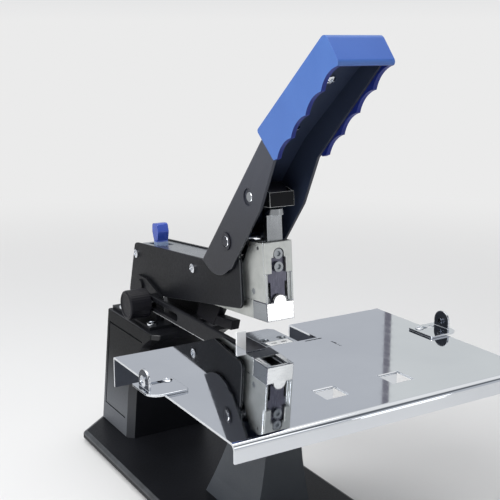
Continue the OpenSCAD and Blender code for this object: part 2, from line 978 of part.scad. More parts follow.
module front_plate() {
    arch = head_screw_d / 2 + 0.7;
    color("#55565E") arm() difference() {
        box([-head_x, head_x], [face_y, plate_back], [brow_low, head_top]);
        lengthwise(face_y - 1, head_screw_z[1], 2 * arch, plate_t + 2);
        box([-arch, arch], [face_y - 1, plate_back + 1], [brow_low - 1, head_screw_z[1]]);
        box([-arch - 1.7, arch + 1.7], [face_y - 1, plate_back + 1], [brow_low - 1, head_screw_z[1] - 2.6]);
    }
}

module nose_block() {
    tongue_r = 5.8;
    color("#E3E6E8") arm() difference() {
        union() {
            box([-head_x, head_x], [face_y, nose_rear], [mag_z, mag_top]);
            intersection() {
                lengthwise(face_y, mag_top, 2 * tongue_r, 2);
                box([-tongue_r, tongue_r], [face_y, face_y + 2], [mag_top - 1, mag_top + tongue_r + 1]);
            }
        }
        box([-rail_x - 1.4, rail_x + 1.4], [driver_y - slack, nose_rear + 1], [mag_z - 1, mag_top + 1]);
    }
}

module head_dowels() {
    color("#7C7F83") arm() both_sides() for (at = dowels) {
        cross(at, at.z, head_x - dowel_l, head_x - dowel_sunk);
    }
}

// Ram and driver

module ram() {
    rear = ram_y + ram_l;
    color("#8E9296") arm() difference() {
        union() {
            box([-driver_w / 2, driver_w / 2], [ram_y, rear], [ram_low, neck_z]);
            box([-ram_w / 2, ram_w / 2], [ram_y, rear], [neck_z - 1, cap_top]);
            translate([0, ram_y, cap_top - cap_h]) cylinder(r = cap_r, h = cap_h);
        }
        for (sx = [-1, 1]) {
            translate([sx * ram_spring_x, ram_y + ram_l / 2, ram_low - 1]) {
                cylinder(d = 4.2, h = spring_pocket + 1);
            }
        }
        for (z = head_screw_z) {
            lengthwise(ram_y - 1, z, 4 + 2 * hole_fit, 6);
        }
    }
}

driver_tip = mag_z + stroke + 0.2;
driver_step = mag_top + stroke + 0.8;
driver_top = head_screw_z[1] + 6;

module driver_plate() {
    x = rail_x + 0.7;
    color("#C9CCCE") arm() difference() {
        union() {
            box([-driver_w / 2, driver_w / 2], [driver_y, ram_y], [driver_step, driver_top]);
            box([-x, x], [driver_y, ram_y], [driver_tip, driver_step + 1]);
        }
        for (z = head_screw_z) {
            lengthwise(driver_y - 1, z, 4 + 2 * hole_fit, driver_t + 2);
        }
    }
}

module driver_screws() {
    color("#1D1F22") arm() for (z = head_screw_z) {
        translate([0, driver_y, z]) rotate([90, 0, 0]) socket_screw(4, head_screw_d, 2.6, driver_t + 4.5);
    }
}

ram_coil_wire = 0.6;
ram_coil_r = 1.4;
ram_coil_curls = 9;
ram_coil_from = shelf_z + ram_coil_wire / 2;
ram_coil_pitch = (ram_low + spring_pocket - ram_coil_wire / 2 - ram_coil_from) / ram_coil_curls;

module ram_springs() {
    color("#8B8E92") arm() for (sx = [-1, 1]) {
        translate([sx * ram_spring_x, ram_y + ram_l / 2, ram_coil_from]) {
            coil(ram_coil_r, ram_coil_pitch, ram_coil_curls, ram_coil_wire);
        }
    }
}

// Hand lever

lever_bush_d = shaft_d + 4;
shaft_end = lever_x + 1.4;
ring_t = 0.8;
push_sink = 1.2;

module lever_shaft() {
    color("#D5D8DA") arm() cross([lever_y, lever_z], shaft_d, -shaft_end, shaft_end);
}

module shaft_rings() {
    color("#3A3C3F") arm() both_sides() difference() {
        cross([lever_y, lever_z], shaft_d + 5, lever_x + slack, lever_x + slack + ring_t);
        cross([lever_y, lever_z], shaft_d, lever_x, shaft_end);
    }
}

lever_coil_wire = 1.6;
lever_coil_r = shaft_d / 2 + lever_coil_wire / 2 + 1.4;
lever_coil_pitch = 2.4;
lever_coil_curls = 3;

module lever_spring() {
    start = lever_coil_wire / 2 + 0.6 - head_x;
    color("#77797C") arm() translate([start, lever_y, lever_z]) rotate([0, 90, 0]) {
        coil(lever_coil_r, lever_coil_pitch, lever_coil_curls, lever_coil_wire);
    }
}

lever_end = grip_l - grip_end;
sheet_deep = 14;

// Side outline of the lever sheet
function lever_outline() = concat(
    [heel, bend, grip_point(lever_end, -grip_back), grip_point(lever_end, -grip_back - sheet_deep)],
    [throat, jaw, chin],
    [for (a = [-128:8:-46]) sole + sole_r * [cos(a), sin(a)]]
);

module lever_channel() {
    along = unit(heel - bend);
    out = [-along.y, along.x];
    color("#2A2C2F") arm() difference() {
        slab(-lever_x, lever_x) polygon(lever_outline());
        slab(-lever_in, lever_in) polygon([
            heel - lever_t * out + 20 * along,
            bend - lever_t * unit(out + [sin(grip_lean), cos(grip_lean)]),
            grip_point(grip_l + 5, -grip_back - lever_t),
            grip_point(grip_l + 5, -70),
            [-60, 60],
            [10, -10],
            [110, 0]
        ]);
        cross([lever_y, lever_z], lever_bush_d, -lever_x - 1, lever_x + 1);
        cross([push_y, push_z], push_d, -lever_x - 1, lever_x + 1);
        both_sides() cross([push_y, push_z], push_recess, lever_x - push_sink, lever_x + 1);
        at_grip_screws() translate([0, 0, -1]) cylinder(d = 4 + 2 * hole_fit, h = 20, center = true);
    }
}

module lever_bushes() {
    color("#B08D57") arm() both_sides() difference() {
        union() {
            cross([lever_y, lever_z], lever_bush_d, lever_in - 0.1, lever_x);
            cross([lever_y, lever_z], lever_bush_d + 5, frame_x + slack, lever_in);
        }
        cross([lever_y, lever_z], shaft_d + 2 * fit, 0, lever_x + 1);
    }
}

module push_pin() {
    end = lever_x - push_sink / 2;
    color("#D5D8DA") arm() cross([push_y, push_z], push_d, -end, end);
}

module push_roller() {
    color("#1D1F22") arm() difference() {
        cross([push_y, push_z], roller_d, -roller_l / 2, roller_l / 2);
        cross([push_y, push_z], push_d + 2 * fit, -roller_l, roller_l);
    }
}

strap_t = 1.2;
strap_h = 10.8;
strap_low = -7.6;
strap_reach = 15.5;

// Strap on the push pin, round the front of the roller
module roller_strap() {
    in = roller_l / 2 + slack;
    front = push_y - strap_reach;
    low = push_z + strap_low;
    color("#26282B") arm() difference() {
        union() {
            box([-in - strap_t, in + strap_t], [front, front + strap_t], [low, low + strap_h]);
            both_sides() slab(in, in + strap_t) polygon([
                [front, low], [push_y + push_d, low], [push_y + push_d, low + strap_h + 2.6],
                [push_y - push_d, low + strap_h + 2.6], [front, low + strap_h]
            ]);
        }
        cross([push_y, push_z], push_d + 2 * hole_fit, -in - strap_t - 1, in + strap_t + 1);
    }
}

// Places of the grip screws on the inner face of the lever sheet
module at_grip_screws() {
    for (u = [12, 66]) {
        grip_frame() translate([0, u, -grip_back - lever_t]) children();
    }
}

module grip_screws() {
    color("#8B8E92") arm() at_grip_screws() rotate([180, 0, 0]) {
        dome_screw(4, 8, 2.4, lever_t + grip_back - 1.5);
    }
}

// Point of the arm's side view in the grip frame
function in_grip(p) =
    let (d = p - grip_at)
    [d.y * sin(grip_lean) - d.x * cos(grip_lean), d.x * sin(grip_lean) + d.y * cos(grip_lean)];

function knuckle(u) =
    knuckle_deep + (knuckle_end - knuckle_deep) * (u - knuckle_first) / (grip_l - knuckle_first);

module grip() {
    out = lever_x + grip_t;
    hollow_r = (finger_pitch * finger_pitch / 4 + finger_depth * finger_depth) / (2 * finger_depth);
    color("#4468C4") arm() difference() {
        grip_frame() difference() {
            slab(-out, out) polygon(rounded([
                [0, 0, 2], [grip_l, 0, 5], [grip_l, -knuckle_end, 3],
                [knuckle_first, -knuckle_deep, 3], [4.8, 2 - knuckle_deep, 2]
            ]));
            slab(-lever_x, lever_x) polygon([
                [-20, -grip_back], [lever_end, -grip_back], [lever_end, -grip_back - sheet_deep - slack],
                in_grip(throat) - [0, slack], [-20, in_grip(throat).y - slack]
            ]);
            box([grip_lip - out, out - grip_lip], [-20, lever_end], [-60, -grip_back]);
            for (k = [0:fingers - 1]) {
                u = knuckle_first + finger_pitch * (k + 0.5);
                cross([u, finger_depth - knuckle(u) - hollow_r], 2 * hollow_r, -out - 1, out + 1);
            }
        }
        at_grip_screws() translate([0, 0, lever_t - 1]) cylinder(d = 4 + 2 * hole_fit, h = grip_back);
    }
}

// Depth stop

stop_t = 1.5;

module depth_bar() {
    play = stud_d / 2 + slack;
    color("#3C3F43") bench() difference() {
        box([-bar_out, -bar_in], [stop_y, stud_y + 12], [bar_z - bar_h, bar_z]);
        cross([stud_y, stud_z], 2 * play, -bar_out - 1, 1 - bar_in);
        cross([stud_y - depth_travel, stud_z], 2 * play, -bar_out - 1, 1 - bar_in);
        box([-bar_out - 1, 1 - bar_in], [stud_y - depth_travel, stud_y], [stud_z - play, stud_z + play]);
        at_stop_screw() translate([0, 0, -10]) cylinder(d = 2.5 + 2 * hole_fit, h = 12);
    }
}

// Place of the screw in the end of the depth bar, its shank running back
module at_stop_screw() {
    translate([-(bar_out + bar_in) / 2, stop_y, bar_z - bar_h / 2]) rotate([90, 0, 0]) children();
}

module stop_plate() {
    color("#D5D8DA") bench() difference() {
        box([0.6 - slot_w / 2, 3.5 - bar_in], [stop_y - stop_t, stop_y], [-9.5, 9.5]);
        at_stop_screw() translate([0, 0, -1]) cylinder(d = 2.5 + 2 * hole_fit, h = stop_t + 2);
    }
}

module stop_screw() {
    color("#D5D8DA") bench() at_stop_screw() translate([0, 0, stop_t]) dome_screw(2.5, 5.5, 2, stop_t + 8);
}

knob_in = bar_out + slack;
hub_l = 1.5;

module clamp_knob() {
    ridges = 20;
    rim = knob_d / 2;
    color("#1B1C1E") bench() difference() {
        union() {
            cross([stud_y, stud_z], 14, -knob_in - hub_l, -knob_in);
            cross([stud_y, stud_z], knob_d, -knob_in - hub_l - knob_l, -knob_in - hub_l);
        }
        cross([stud_y, stud_z], stud_d + 2 * hole_fit, 4 - knob_in - hub_l - knob_l, 1);
        cross([stud_y, stud_z], knob_d * 0.68, -knob_in - hub_l - knob_l - 1, 1 - knob_in - hub_l - knob_l);
        for (k = [0:ridges - 1]) {
            turn = 360 * k / ridges;
            cross(
                [stud_y + (rim + 0.6) * cos(turn), stud_z + (rim + 0.6) * sin(turn)],
                2, -knob_in - hub_l - knob_l - 1, -knob_in - hub_l - 2
            );
        }
    }
}

module clamp_stud() {
    color("#9EA2A6") bench() {
        cross([stud_y, stud_z], stud_d, 4 - knob_in - hub_l - knob_l, -half - side_gap - 0.5);
    }
}

// Table

table_x = table_w / 2;
fold_r = 3;
tab_at = [28, -103];
tab_half = 9;
guide_screw = [table_x - guide_in + 5.5, 7 - guide_y];

module table_plate() {
    slot_x = slot_w / 2;
    edge = -table_front;
    color("#C4C8CC") bench() difference() {
        union() {
            difference() {
                box([-table_x, table_x], [edge + fold_r, table_rear], [-table_t, 0]);
                box([-slot_x, slot_x], [-slot_front, table_rear + 1], [-table_t - 1, 1]);
                both_sides() translate([tab_at.x, tab_at.y, 0]) {
                    box([-tab_half, tab_half], [-8, 8], [-table_t - 1, 1]);
                }
            }
            difference() {
                cross([edge + fold_r, -fold_r], 2 * fold_r, -table_x, table_x);
                cross([edge + fold_r, -fold_r], 2 * (fold_r - table_t), -table_x - 1, table_x + 1);
                box([-table_x - 1, table_x + 1], [edge + fold_r, edge + 3 * fold_r], [-3 * fold_r, 1]);
                box([-table_x - 1, table_x + 1], [edge - 1, edge + 3 * fold_r], [-3 * fold_r, -fold_r]);
            }
            box([-table_x, table_x], [edge, edge + table_t], [-front_flange, -fold_r]);
            both_sides() box([slot_x, table_x], [table_rear - table_t, table_rear], [-rear_flange, 0]);
            both_sides() translate([tab_at.x, tab_at.y + 8, 0]) rotate([7, 0, 0]) {
                box([1.2 - tab_half, tab_half - 1.2], [-14.6, 0.1], [-table_t, 0]);
            }
        }
        both_sides() box([18, 33], [-9.3, -7.7], [-table_t - 1, 1]);
        both_sides() box([34.4, 36], [-31, -18.5], [-table_t - 1, 1]);
        both_sides() translate([guide_screw.x, guide_screw.y, -table_t - 1]) {
            cylinder(d = 4 + 2 * hole_fit, h = table_t + 2);
        }
    }
}

module table_runners() {
    x = rest_x + slack;
    low = rest_z - rest_t - slack;
    color("#3A3D41") bench() both_sides() {
        box([x, x + runner_t], [2 - rest_front, -slot_front - 4], [low - 2, -table_t]);
        box([rest_x - lip_l, x + 0.5], [2 - rest_front, -slot_front - 4], [low - 2, low]);
    }
}

// Right-hand guide; the left-hand one is its mirror image
ear_round = 8;
ear_y = 2 - guide_y;
guide_z = glide + guide_t;
guide_end = table_x + guide_out;
ear_x = guide_end - 3;
guide_slot = guide_travel + 5;

module at_ear_screw() {
    translate([ear_x, ear_y, ear_h - ear_round + glide]) rotate([0, 90, 0]) children();
}

module guide() {
    slot_r = 2 + slack;
    difference() {
        union() {
            translate([0, 0, glide]) linear_extrude(guide_t) polygon(rounded([
                [table_x - guide_in, -guide_y - guide_l / 2, 2], [guide_end, -guide_y - guide_l / 2, 9],
                [guide_end, guide_l / 2 - guide_y, 0], [table_x - guide_in, guide_l / 2 - guide_y, 2]
            ]));
            box(
                [ear_x - guide_t, ear_x],
                [ear_y - ear_round, ear_y + ear_round],
                [glide, ear_h - ear_round + glide]
            );
            at_ear_screw() translate([0, 0, -guide_t]) cylinder(r = ear_round, h = guide_t);
        }
        // The ear ends level with the underside, so that it clears the table edge when it slides in
        box(
            [ear_x - guide_t - 1, ear_x + 1],
            [ear_y - ear_round - 1, ear_y + ear_round + 1],
            [glide - ear_round, glide]
        );
        for (x = [0, guide_slot]) {
            translate([guide_screw.x + x, guide_screw.y, 0]) cylinder(r = slot_r, h = 4);
        }
        translate([guide_screw.x, guide_screw.y, 0]) box([0, guide_slot], [-slot_r, slot_r], [0, 4]);
        at_ear_screw() translate([0, 0, -guide_t - 1]) cylinder(d = 4 + 2 * hole_fit, h = guide_t + 2);
    }
}

module ear_screw() {
    at_ear_screw() dome_screw(4, 8, 1.8, guide_t + 2);
}

module right_guide() {
    color("#D5D8DA") bench() guide();
}

module left_guide() {
    color("#D5D8DA") bench() mirror([1, 0, 0]) guide();
}

module right_ear_screw() {
    color("#D5D8DA") bench() ear_screw();
}

module left_ear_screw() {
    color("#D5D8DA") bench() mirror([1, 0, 0]) ear_screw();
}

module guide_screws() {
    color("#D5D8DA") bench() both_sides() translate([guide_screw.x, guide_screw.y, guide_z + glide]) {
        dome_screw(4, 6.6, 1.2, guide_z + glide + table_t + 2);
    }
}

echo(arm_spring_gap = coil_gap(arm_coil_r, arm_coil_pitch, arm_coil_curls, arm_coil_wire));
echo(lever_spring_gap = coil_gap(lever_coil_r, lever_coil_pitch, lever_coil_curls, lever_coil_wire));
echo(pusher_spring_gap = coil_gap(push_coil_r, push_coil_pitch, push_coil_curls, push_coil_wire));
echo(ram_spring_gap = coil_gap(ram_coil_r, ram_coil_pitch, ram_coil_curls, ram_coil_wire));

base_plate();
rubber_feet();
base_screws();
column_core();
column_cover();
front_post();
anvil_block();
anvil_insert();
anvil_screws();
table_bracket();
table_bolts();
top_bracket();
bracket_screws();
arm_pivot_pin();
arm_spring();
arm_cover_left();
arm_cover_right();
arm_frame();
pivot_bushes();
magazine();
staple_rail();
staple_strip();
pusher_rod();
pusher_spring();
magazine_catch();
catch_pad();
head_casting();
front_plate();
nose_block();
head_dowels();
cover_screws();
lever_shaft();
shaft_rings();
lever_spring();
ram_springs();
latch_pin();
pusher();
latch_tab();
lever_channel();
grip();
grip_screws();
push_pin();
lever_bushes();
push_roller();
roller_strap();
ram();
driver_plate();
driver_screws();
depth_bar();
stop_plate();
stop_screw();
clamp_knob();
clamp_stud();
table_plate();
table_runners();
guide_screws();
left_guide();
right_guide();
left_ear_screw();
right_ear_screw();
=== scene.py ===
import json
import math

import bmesh
import bpy
from mathutils import Matrix, Vector


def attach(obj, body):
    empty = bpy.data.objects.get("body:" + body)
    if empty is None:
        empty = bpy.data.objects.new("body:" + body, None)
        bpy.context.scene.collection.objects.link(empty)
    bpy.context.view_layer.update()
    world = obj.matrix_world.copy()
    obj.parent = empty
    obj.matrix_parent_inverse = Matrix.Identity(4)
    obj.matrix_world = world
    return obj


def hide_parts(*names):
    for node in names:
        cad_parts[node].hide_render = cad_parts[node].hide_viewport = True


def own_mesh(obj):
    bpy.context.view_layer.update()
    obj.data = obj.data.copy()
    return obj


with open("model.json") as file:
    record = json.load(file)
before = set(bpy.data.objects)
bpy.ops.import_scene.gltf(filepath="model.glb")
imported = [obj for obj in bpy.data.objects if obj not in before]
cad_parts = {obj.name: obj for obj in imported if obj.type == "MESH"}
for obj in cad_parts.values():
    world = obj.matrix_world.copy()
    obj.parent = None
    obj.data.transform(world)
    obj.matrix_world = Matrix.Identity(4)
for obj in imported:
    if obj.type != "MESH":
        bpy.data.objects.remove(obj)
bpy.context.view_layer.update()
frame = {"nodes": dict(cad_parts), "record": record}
nodes = frame["nodes"]
record = frame["record"]
bodyOf = {n: body for body, members in record["behaviour"]["bodies"].items() for n in members}
mm = 0.001
print("frame loaded:", len(nodes), "nodes")


# shared helpers

def toLinear(hexColour):
    parts = [int(hexColour[i:i + 2], 16) / 255 for i in (1, 3, 5)]
    return [p / 12.92 if p <= 0.04045 else ((p + 0.055) / 1.055) ** 2.4 for p in parts] + [1]


def perMetre(sizeMm):
    return 1 / (sizeMm * mm)  # texture scale that gives features of this size


def addNode(tree, kind, settings=None, links=None):
    # settings are the node's own, its inputs by name or number, or the stops of a colour ramp
    node = tree.nodes.new(kind)
    for key, value in (settings or {}).items():
        if key == "stops":
            stops = node.color_ramp.elements
            while len(stops) < len(value):
                stops.new(1)
            for stop, (place, colour) in zip(stops, value):
                stop.position, stop.color = place, toLinear(colour)
        elif isinstance(key, str) and hasattr(node, key):
            setattr(node, key, value)
        else:
            node.inputs[key].default_value = value
    for key, (source, output) in (links or {}).items():
        tree.links.new(source.outputs[output], node.inputs[key])
    return node


def startMaterial(name, colour, metallic, roughness):
    material = bpy.data.materials.new(name)
    material.use_nodes = True
    tree = material.node_tree
    shader = tree.nodes["Principled BSDF"]
    shader.inputs["Base Color"].default_value = toLinear(colour)
    shader.inputs["Metallic"].default_value = metallic
    shader.inputs["Roughness"].default_value = roughness
    return material, tree, shader


noiseSpan = (0.3, 0.7)  # nearly all of a noise's values fall between these
grainDepth = 0.2  # height of the grain, as a share of its width


def makeMaterial(look):
    # cloudy colour, and a fine grain in the gloss and the bump, all in object space
    material, tree, shader = startMaterial(look["name"], look["dark"], look["metallic"], look["roughness"][0])
    place = addNode(tree, "ShaderNodeTexCoord")
    stretch = addNode(tree, "ShaderNodeMapping", {"Scale": look.get("stretch", (1, 1, 1))},
        {"Vector": (place, "Object")})
    cloud = addNode(tree, "ShaderNodeTexNoise", {"Scale": perMetre(look["cloudMm"]), "Detail": 4.0},
        {"Vector": (place, "Object")})
    grain = addNode(tree, "ShaderNodeTexNoise", {"Scale": perMetre(look["grainMm"]), "Detail": 3.0},
        {"Vector": (stretch, "Vector")})
    tone = addNode(tree, "ShaderNodeValToRGB", {"stops": list(zip(noiseSpan, (look["dark"], look["light"])))},
        {"Fac": (cloud, "Fac")})
    colour = (tone, "Color")
    if "fade" in look:
        # turns to another colour from one height of the piece to the next
        height = addNode(tree, "ShaderNodeSeparateXYZ", {}, {"Vector": (place, "Object")})
        share = addNode(tree, "ShaderNodeMapRange", {"interpolation_type": "SMOOTHSTEP",
            "From Min": look["fadeMm"][0] * mm, "From Max": look["fadeMm"][1] * mm}, {"Value": (height, "Z")})
        blend = addNode(tree, "ShaderNodeMixRGB", {"Color2": toLinear(look["fade"])},
            {"Fac": (share, "Result"), "Color1": colour})
        colour = (blend, "Color")
    gloss = addNode(tree, "ShaderNodeMapRange", {"From Min": noiseSpan[0], "From Max": noiseSpan[1],
        "To Min": look["roughness"][0], "To Max": look["roughness"][1]}, {"Value": (grain, "Fac")})
    bump = addNode(tree, "ShaderNodeBump", {"Strength": look["bump"],
        "Distance": look["grainMm"] * mm * grainDepth}, {"Height": (grain, "Fac")})
    tree.links.new(colour[0].outputs[colour[1]], shader.inputs["Base Color"])
    tree.links.new(gloss.outputs["Result"], shader.inputs["Roughness"])
    tree.links.new(bump.outputs["Normal"], shader.inputs["Normal"])
    if "specular" in look:
        shader.inputs["Specular IOR Level"].default_value = look["specular"]
    if "ior" in look:
        shader.inputs["IOR"].default_value = look["ior"]
    return material


# materials: what each one is, how its surface was made and what that gives the eye

# black powder coat, sprayed and baked: semi-gloss with a faint orange peel, drawn at 1.6 mm so that it shows
powderCoat = {
    "name": "powderCoatBlack", "dark": "#131417", "light": "#191A1E", "metallic": 0, "specular": 0.1,
    "cloudMm": 45, "grainMm": 1.6, "roughness": (0.32, 0.46), "bump": 0.16,
}

# the same powder coat on the column's sides, darker than the rest as painted shade, and paler towards its foot as
# painted reflected light from the floor
columnCoat = dict(powderCoat, name="powderCoatColumn", dark="#0C0D0F", light="#111214", specular=0.05,
    fade="#64676C", fadeMm=(98, 18))

# the same coat on the column's chamfered corners, shinier, and paler towards its foot as painted reflected light
# from the floor
columnCorner = dict(powderCoat, name="powderCoatCorner", specular=0.45, fade="#3E4044", fadeMm=(98, 18))

# powder coat on the edges, painted paler and shinier: a painted highlight along each edge
edgeHighlightCoat = {
    "name": "powderCoatEdgeHighlight", "dark": "#2A2C2F", "light": "#3C3F43", "metallic": 0, "specular": 0.4,
    "cloudMm": 12, "grainMm": 1.6, "roughness": (0.28, 0.4), "bump": 0.1,
}

# black stoving enamel on bent sheet: smoother than the powder coat, and paler towards its upper end as a painted
# highlight
leverPaint = {
    "name": "stovingEnamelBlack", "dark": "#1B1C22", "light": "#22242B", "metallic": 0, "specular": 0.3,
    "cloudMm": 60, "grainMm": 1.2, "roughness": (0.32, 0.42), "bump": 0.1,
    "fade": "#3E414B", "fadeMm": (205, 330),
}

# the same enamel inside the channel, flat, and painted paler and bluer than the outside: painted fill light in the
# channel's shade
leverInside = dict(leverPaint, name="stovingEnamelInside", dark="#2E3649", light="#353E53", specular=0.15,
    fade="#2E3649")

# dark grey powder coat of the saddle post, a shade paler than the rest
postPaint = {
    "name": "powderCoatGrey", "dark": "#40444A", "light": "#4A4E53", "metallic": 0, "specular": 0.3,
    "cloudMm": 50, "grainMm": 1.6, "roughness": (0.34, 0.46), "bump": 0.16,
}

# bright chrome plate over polished sheet: a clear mirror with faint wiping marks along the sheet
chromePlate = {
    "name": "chromePlate", "dark": "#D6D9DE", "light": "#DFE2E6", "metallic": 1, "stretch": (1, 0.25, 1),
    "cloudMm": 90, "grainMm": 6, "roughness": (0.02, 0.06), "bump": 0.002,
}

# a darker, duller copy of the plating for faces turned away from the light: painted shade
shadePlate = {
    "name": "paintedShadePlate", "dark": "#3C3F47", "light": "#4C5058", "metallic": 1, "stretch": (1, 0.2, 1),
    "cloudMm": 30, "grainMm": 2, "roughness": (0.3, 0.45), "bump": 0.08,
}

# die-cast zinc alloy, tumbled: satin silver grey with a fine mottled skin
castAlloy = {
    "name": "dieCastZinc", "dark": "#BDC0BD", "light": "#CED0CD", "metallic": 1,
    "cloudMm": 12, "grainMm": 1.4, "roughness": (0.34, 0.5), "bump": 0.3,
}

# hardened tool steel, surface ground: bright, with fine straight marks across the block
groundSteel = {
    "name": "groundToolSteel", "dark": "#C2C6CA", "light": "#CED2D6", "metallic": 1, "stretch": (0.06, 1, 1),
    "cloudMm": 25, "grainMm": 1.5, "roughness": (0.08, 0.2), "bump": 0.05,
}

# cold-rolled steel, zinc plated: grey with rolling marks along the part
plainSteel = {
    "name": "zincPlatedSteel", "dark": "#8E9296", "light": "#9DA1A5", "metallic": 1, "stretch": (1, 0.08, 1),
    "cloudMm": 30, "grainMm": 1.5, "roughness": (0.26, 0.36), "bump": 0.04,
}

# drawn bar of the ram, bright from sliding: fine marks along its stroke
ramSteel = {
    "name": "drawnRamSteel", "dark": "#7C7F82", "light": "#96999C", "metallic": 1, "stretch": (1, 1, 0.05),
    "cloudMm": 18, "grainMm": 1.2, "roughness": (0.2, 0.3), "bump": 0.012,
}

# black-oxide steel, oiled: dark blue grey with a low metallic sheen
blackenedSteel = {
    "name": "blackOxideSteel", "dark": "#2C2D34", "light": "#383941", "metallic": 0.7, "stretch": (1, 1, 0.2),
    "cloudMm": 8, "grainMm": 1.2, "roughness": (0.28, 0.42), "bump": 0.15,
}

# hardened spring steel, blued by tempering: violet grey with fine marks along the stroke
bluedSteel = {
    "name": "temperedBlueSteel", "dark": "#565662", "light": "#676773", "metallic": 1, "stretch": (1, 1, 0.1),
    "cloudMm": 10, "grainMm": 1.2, "roughness": (0.24, 0.36), "bump": 0.06,
}

# satin nickel plate on the nose, polished by paper: nearly white
nickelPlate = {
    "name": "satinNickelPlate", "dark": "#E6E6E4", "light": "#F2F2F0", "metallic": 0.75, "stretch": (0.1, 1, 1),
    "cloudMm": 15, "grainMm": 1.5, "roughness": (0.1, 0.2), "bump": 0.02,
}

# bright zinc with a pale passivation: a soft, almost white silver; on the roller strap's edges and on the anvil
# insert it is a painted highlight
brightZincAndGlint = {
    "name": "passivatedZincAndPaintedGlint", "dark": "#ECEDED", "light": "#F6F6F5", "metallic": 0.2,
    "cloudMm": 10, "grainMm": 1.2, "roughness": (0.36, 0.5), "bump": 0.06,
}

# pale scratched steel on edges, as a painted highlight: thin bright lines that show from every side
edgeGlintSteel = {
    "name": "paleSteelEdgeGlint", "dark": "#C0C3C6", "light": "#DCDEE0", "metallic": 0.5,
    "cloudMm": 6, "grainMm": 1, "roughness": (0.34, 0.48), "bump": 0.1,
}

# drawn spring wire, oiled: mid grey with a soft shine
springWire = {
    "name": "drawnSpringWire", "dark": "#6A6C70", "light": "#7E8084", "metallic": 1,
    "cloudMm": 5, "grainMm": 0.8, "roughness": (0.25, 0.4), "bump": 0.1,
}

# blue ABS, moulded in a fine spark-eroded tool: even colour, soft sheen
blueAbs = {
    "name": "mouldedBlueAbs", "dark": "#3D64AB", "light": "#456DB3", "metallic": 0, "ior": 1.53,
    "cloudMm": 40, "grainMm": 1.1, "roughness": (0.36, 0.46), "bump": 0.1,
}

# the same ABS in the finger hollows and on the inner sides, painted deeper and darker: painted shade
hollowAbs = {
    "name": "paintedShadeBlueAbs", "dark": "#16246E", "light": "#1C2C7C", "metallic": 0, "specular": 0.25,
    "cloudMm": 40, "grainMm": 1.1, "roughness": (0.36, 0.46), "bump": 0.1,
}

# the same ABS on the end of the grip, a little deeper as painted shade, and a little shinier
endAbs = dict(blueAbs, name="shadedEndBlueAbs", dark="#335CAC", light="#3A63B2", roughness=(0.28, 0.38))

# polished blue ABS of the latch tab: deeper and glossier than the grip, paler on the shank
tabAbs = {
    "name": "polishedTabAbs", "dark": "#2A45A2", "light": "#314DAC", "metallic": 0, "ior": 1.53,
    "cloudMm": 25, "grainMm": 1.1, "roughness": (0.16, 0.24), "bump": 0.04,
    "fade": "#8598BA", "fadeMm": (197, 195.6),
}

# black glass-filled nylon, moulded: matt with a fine grain
blackNylon = {
    "name": "mouldedBlackNylon", "dark": "#0A0A10", "light": "#0F0F16", "metallic": 0, "specular": 0.25,
    "cloudMm": 20, "grainMm": 0.9, "roughness": (0.42, 0.56), "bump": 0.2,
}

# black nitrile rubber, pressed: dull and slightly dusty
nitrileRubber = {
    "name": "pressedRubber", "dark": "#141415", "light": "#1B1B1C", "metallic": 0,
    "cloudMm": 15, "grainMm": 1.0, "roughness": (0.7, 0.85), "bump": 0.3,
}

# sintered bronze, oil filled: porous brown gold
sinteredBronze = {
    "name": "sinteredBronze", "dark": "#9A7A45", "light": "#AE8C55", "metallic": 1,
    "cloudMm": 6, "grainMm": 0.8, "roughness": (0.35, 0.5), "bump": 0.3,
}

# galvanised staple wire, glued side by side: fine lines across the strip, drawn at 1.4 mm so that they show
stapleWire = {
    "name": "galvanisedStaples", "dark": "#B4B7BA", "light": "#C6C9CC", "metallic": 1,
    "stretch": (0.05, 1, 0.05), "cloudMm": 8, "grainMm": 1.4, "roughness": (0.18, 0.4), "bump": 0.6,
}

looks = {
    "coat": powderCoat, "column": columnCoat, "corner": columnCorner, "rubbed": edgeHighlightCoat, "lever": leverPaint,
    "inside": leverInside, "post": postPaint, "chrome": chromePlate, "paintedShade": shadePlate, "cast": castAlloy,
    "ground": groundSteel, "steel": plainSteel, "ram": ramSteel, "oxide": blackenedSteel, "blued": bluedSteel,
    "nickel": nickelPlate, "zinc": brightZincAndGlint, "worn": edgeGlintSteel, "spring": springWire, "blue": blueAbs,
    "shadedBlue": hollowAbs, "endBlue": endAbs, "tabBlue": tabAbs, "nylon": blackNylon, "rubber": nitrileRubber,
    "bronze": sinteredBronze, "staples": stapleWire,
}
materials = {finish: makeMaterial(look) for finish, look in looks.items()}
print("materials made:", len(materials))


# shaping

creaseAngle = math.radians(25)  # edges that bend more are rounded
boreBends = (math.radians(1), math.radians(20))  # a bend in this range is between two facets of a hole
smoothAngle = math.radians(32)  # edges that bend more stay sharp in the shading
flatAngle = math.radians(0.4)  # faces that bend less become one
weldGap = 0.002 * mm
# a turn is the share of a face's normal that points a given way: 1 faces it squarely, 0 is edge on
squarely, mostly, halfway = 0.95, 0.9, 0.5
stapleLine = (-62, 156)  # y and z of the staple line on the table top, in millimetres of the frame


def benchPoint(x, y, z):
    # from millimetres about the staple line to metres in the frame
    return Vector((x, y + stapleLine[0], z + stapleLine[1])) * mm


def onBore(face):
    # a face of a hole bends inward, a little at a time, to its neighbours
    for edge in face.edges:
        if len(edge.link_faces) == 2 and not edge.is_convex:
            if boreBends[0] < edge.calc_face_angle(0) < boreBends[1]:
                return True
    return False


def cleanCopy(node):
    work = bmesh.new()
    work.from_mesh(nodes[node].data)
    bmesh.ops.remove_doubles(work, verts=work.verts, dist=weldGap)
    bmesh.ops.dissolve_limit(work, angle_limit=flatAngle, verts=work.verts, edges=work.edges)
    return work


def creases(work):
    # sharp edges, apart from the rims of holes
    bores = {f for f in work.faces if onBore(f)}
    return [e for e in work.edges if len(e.link_faces) == 2 and e.calc_face_angle(0) > creaseAngle
        and not (set(e.link_faces) & bores)]


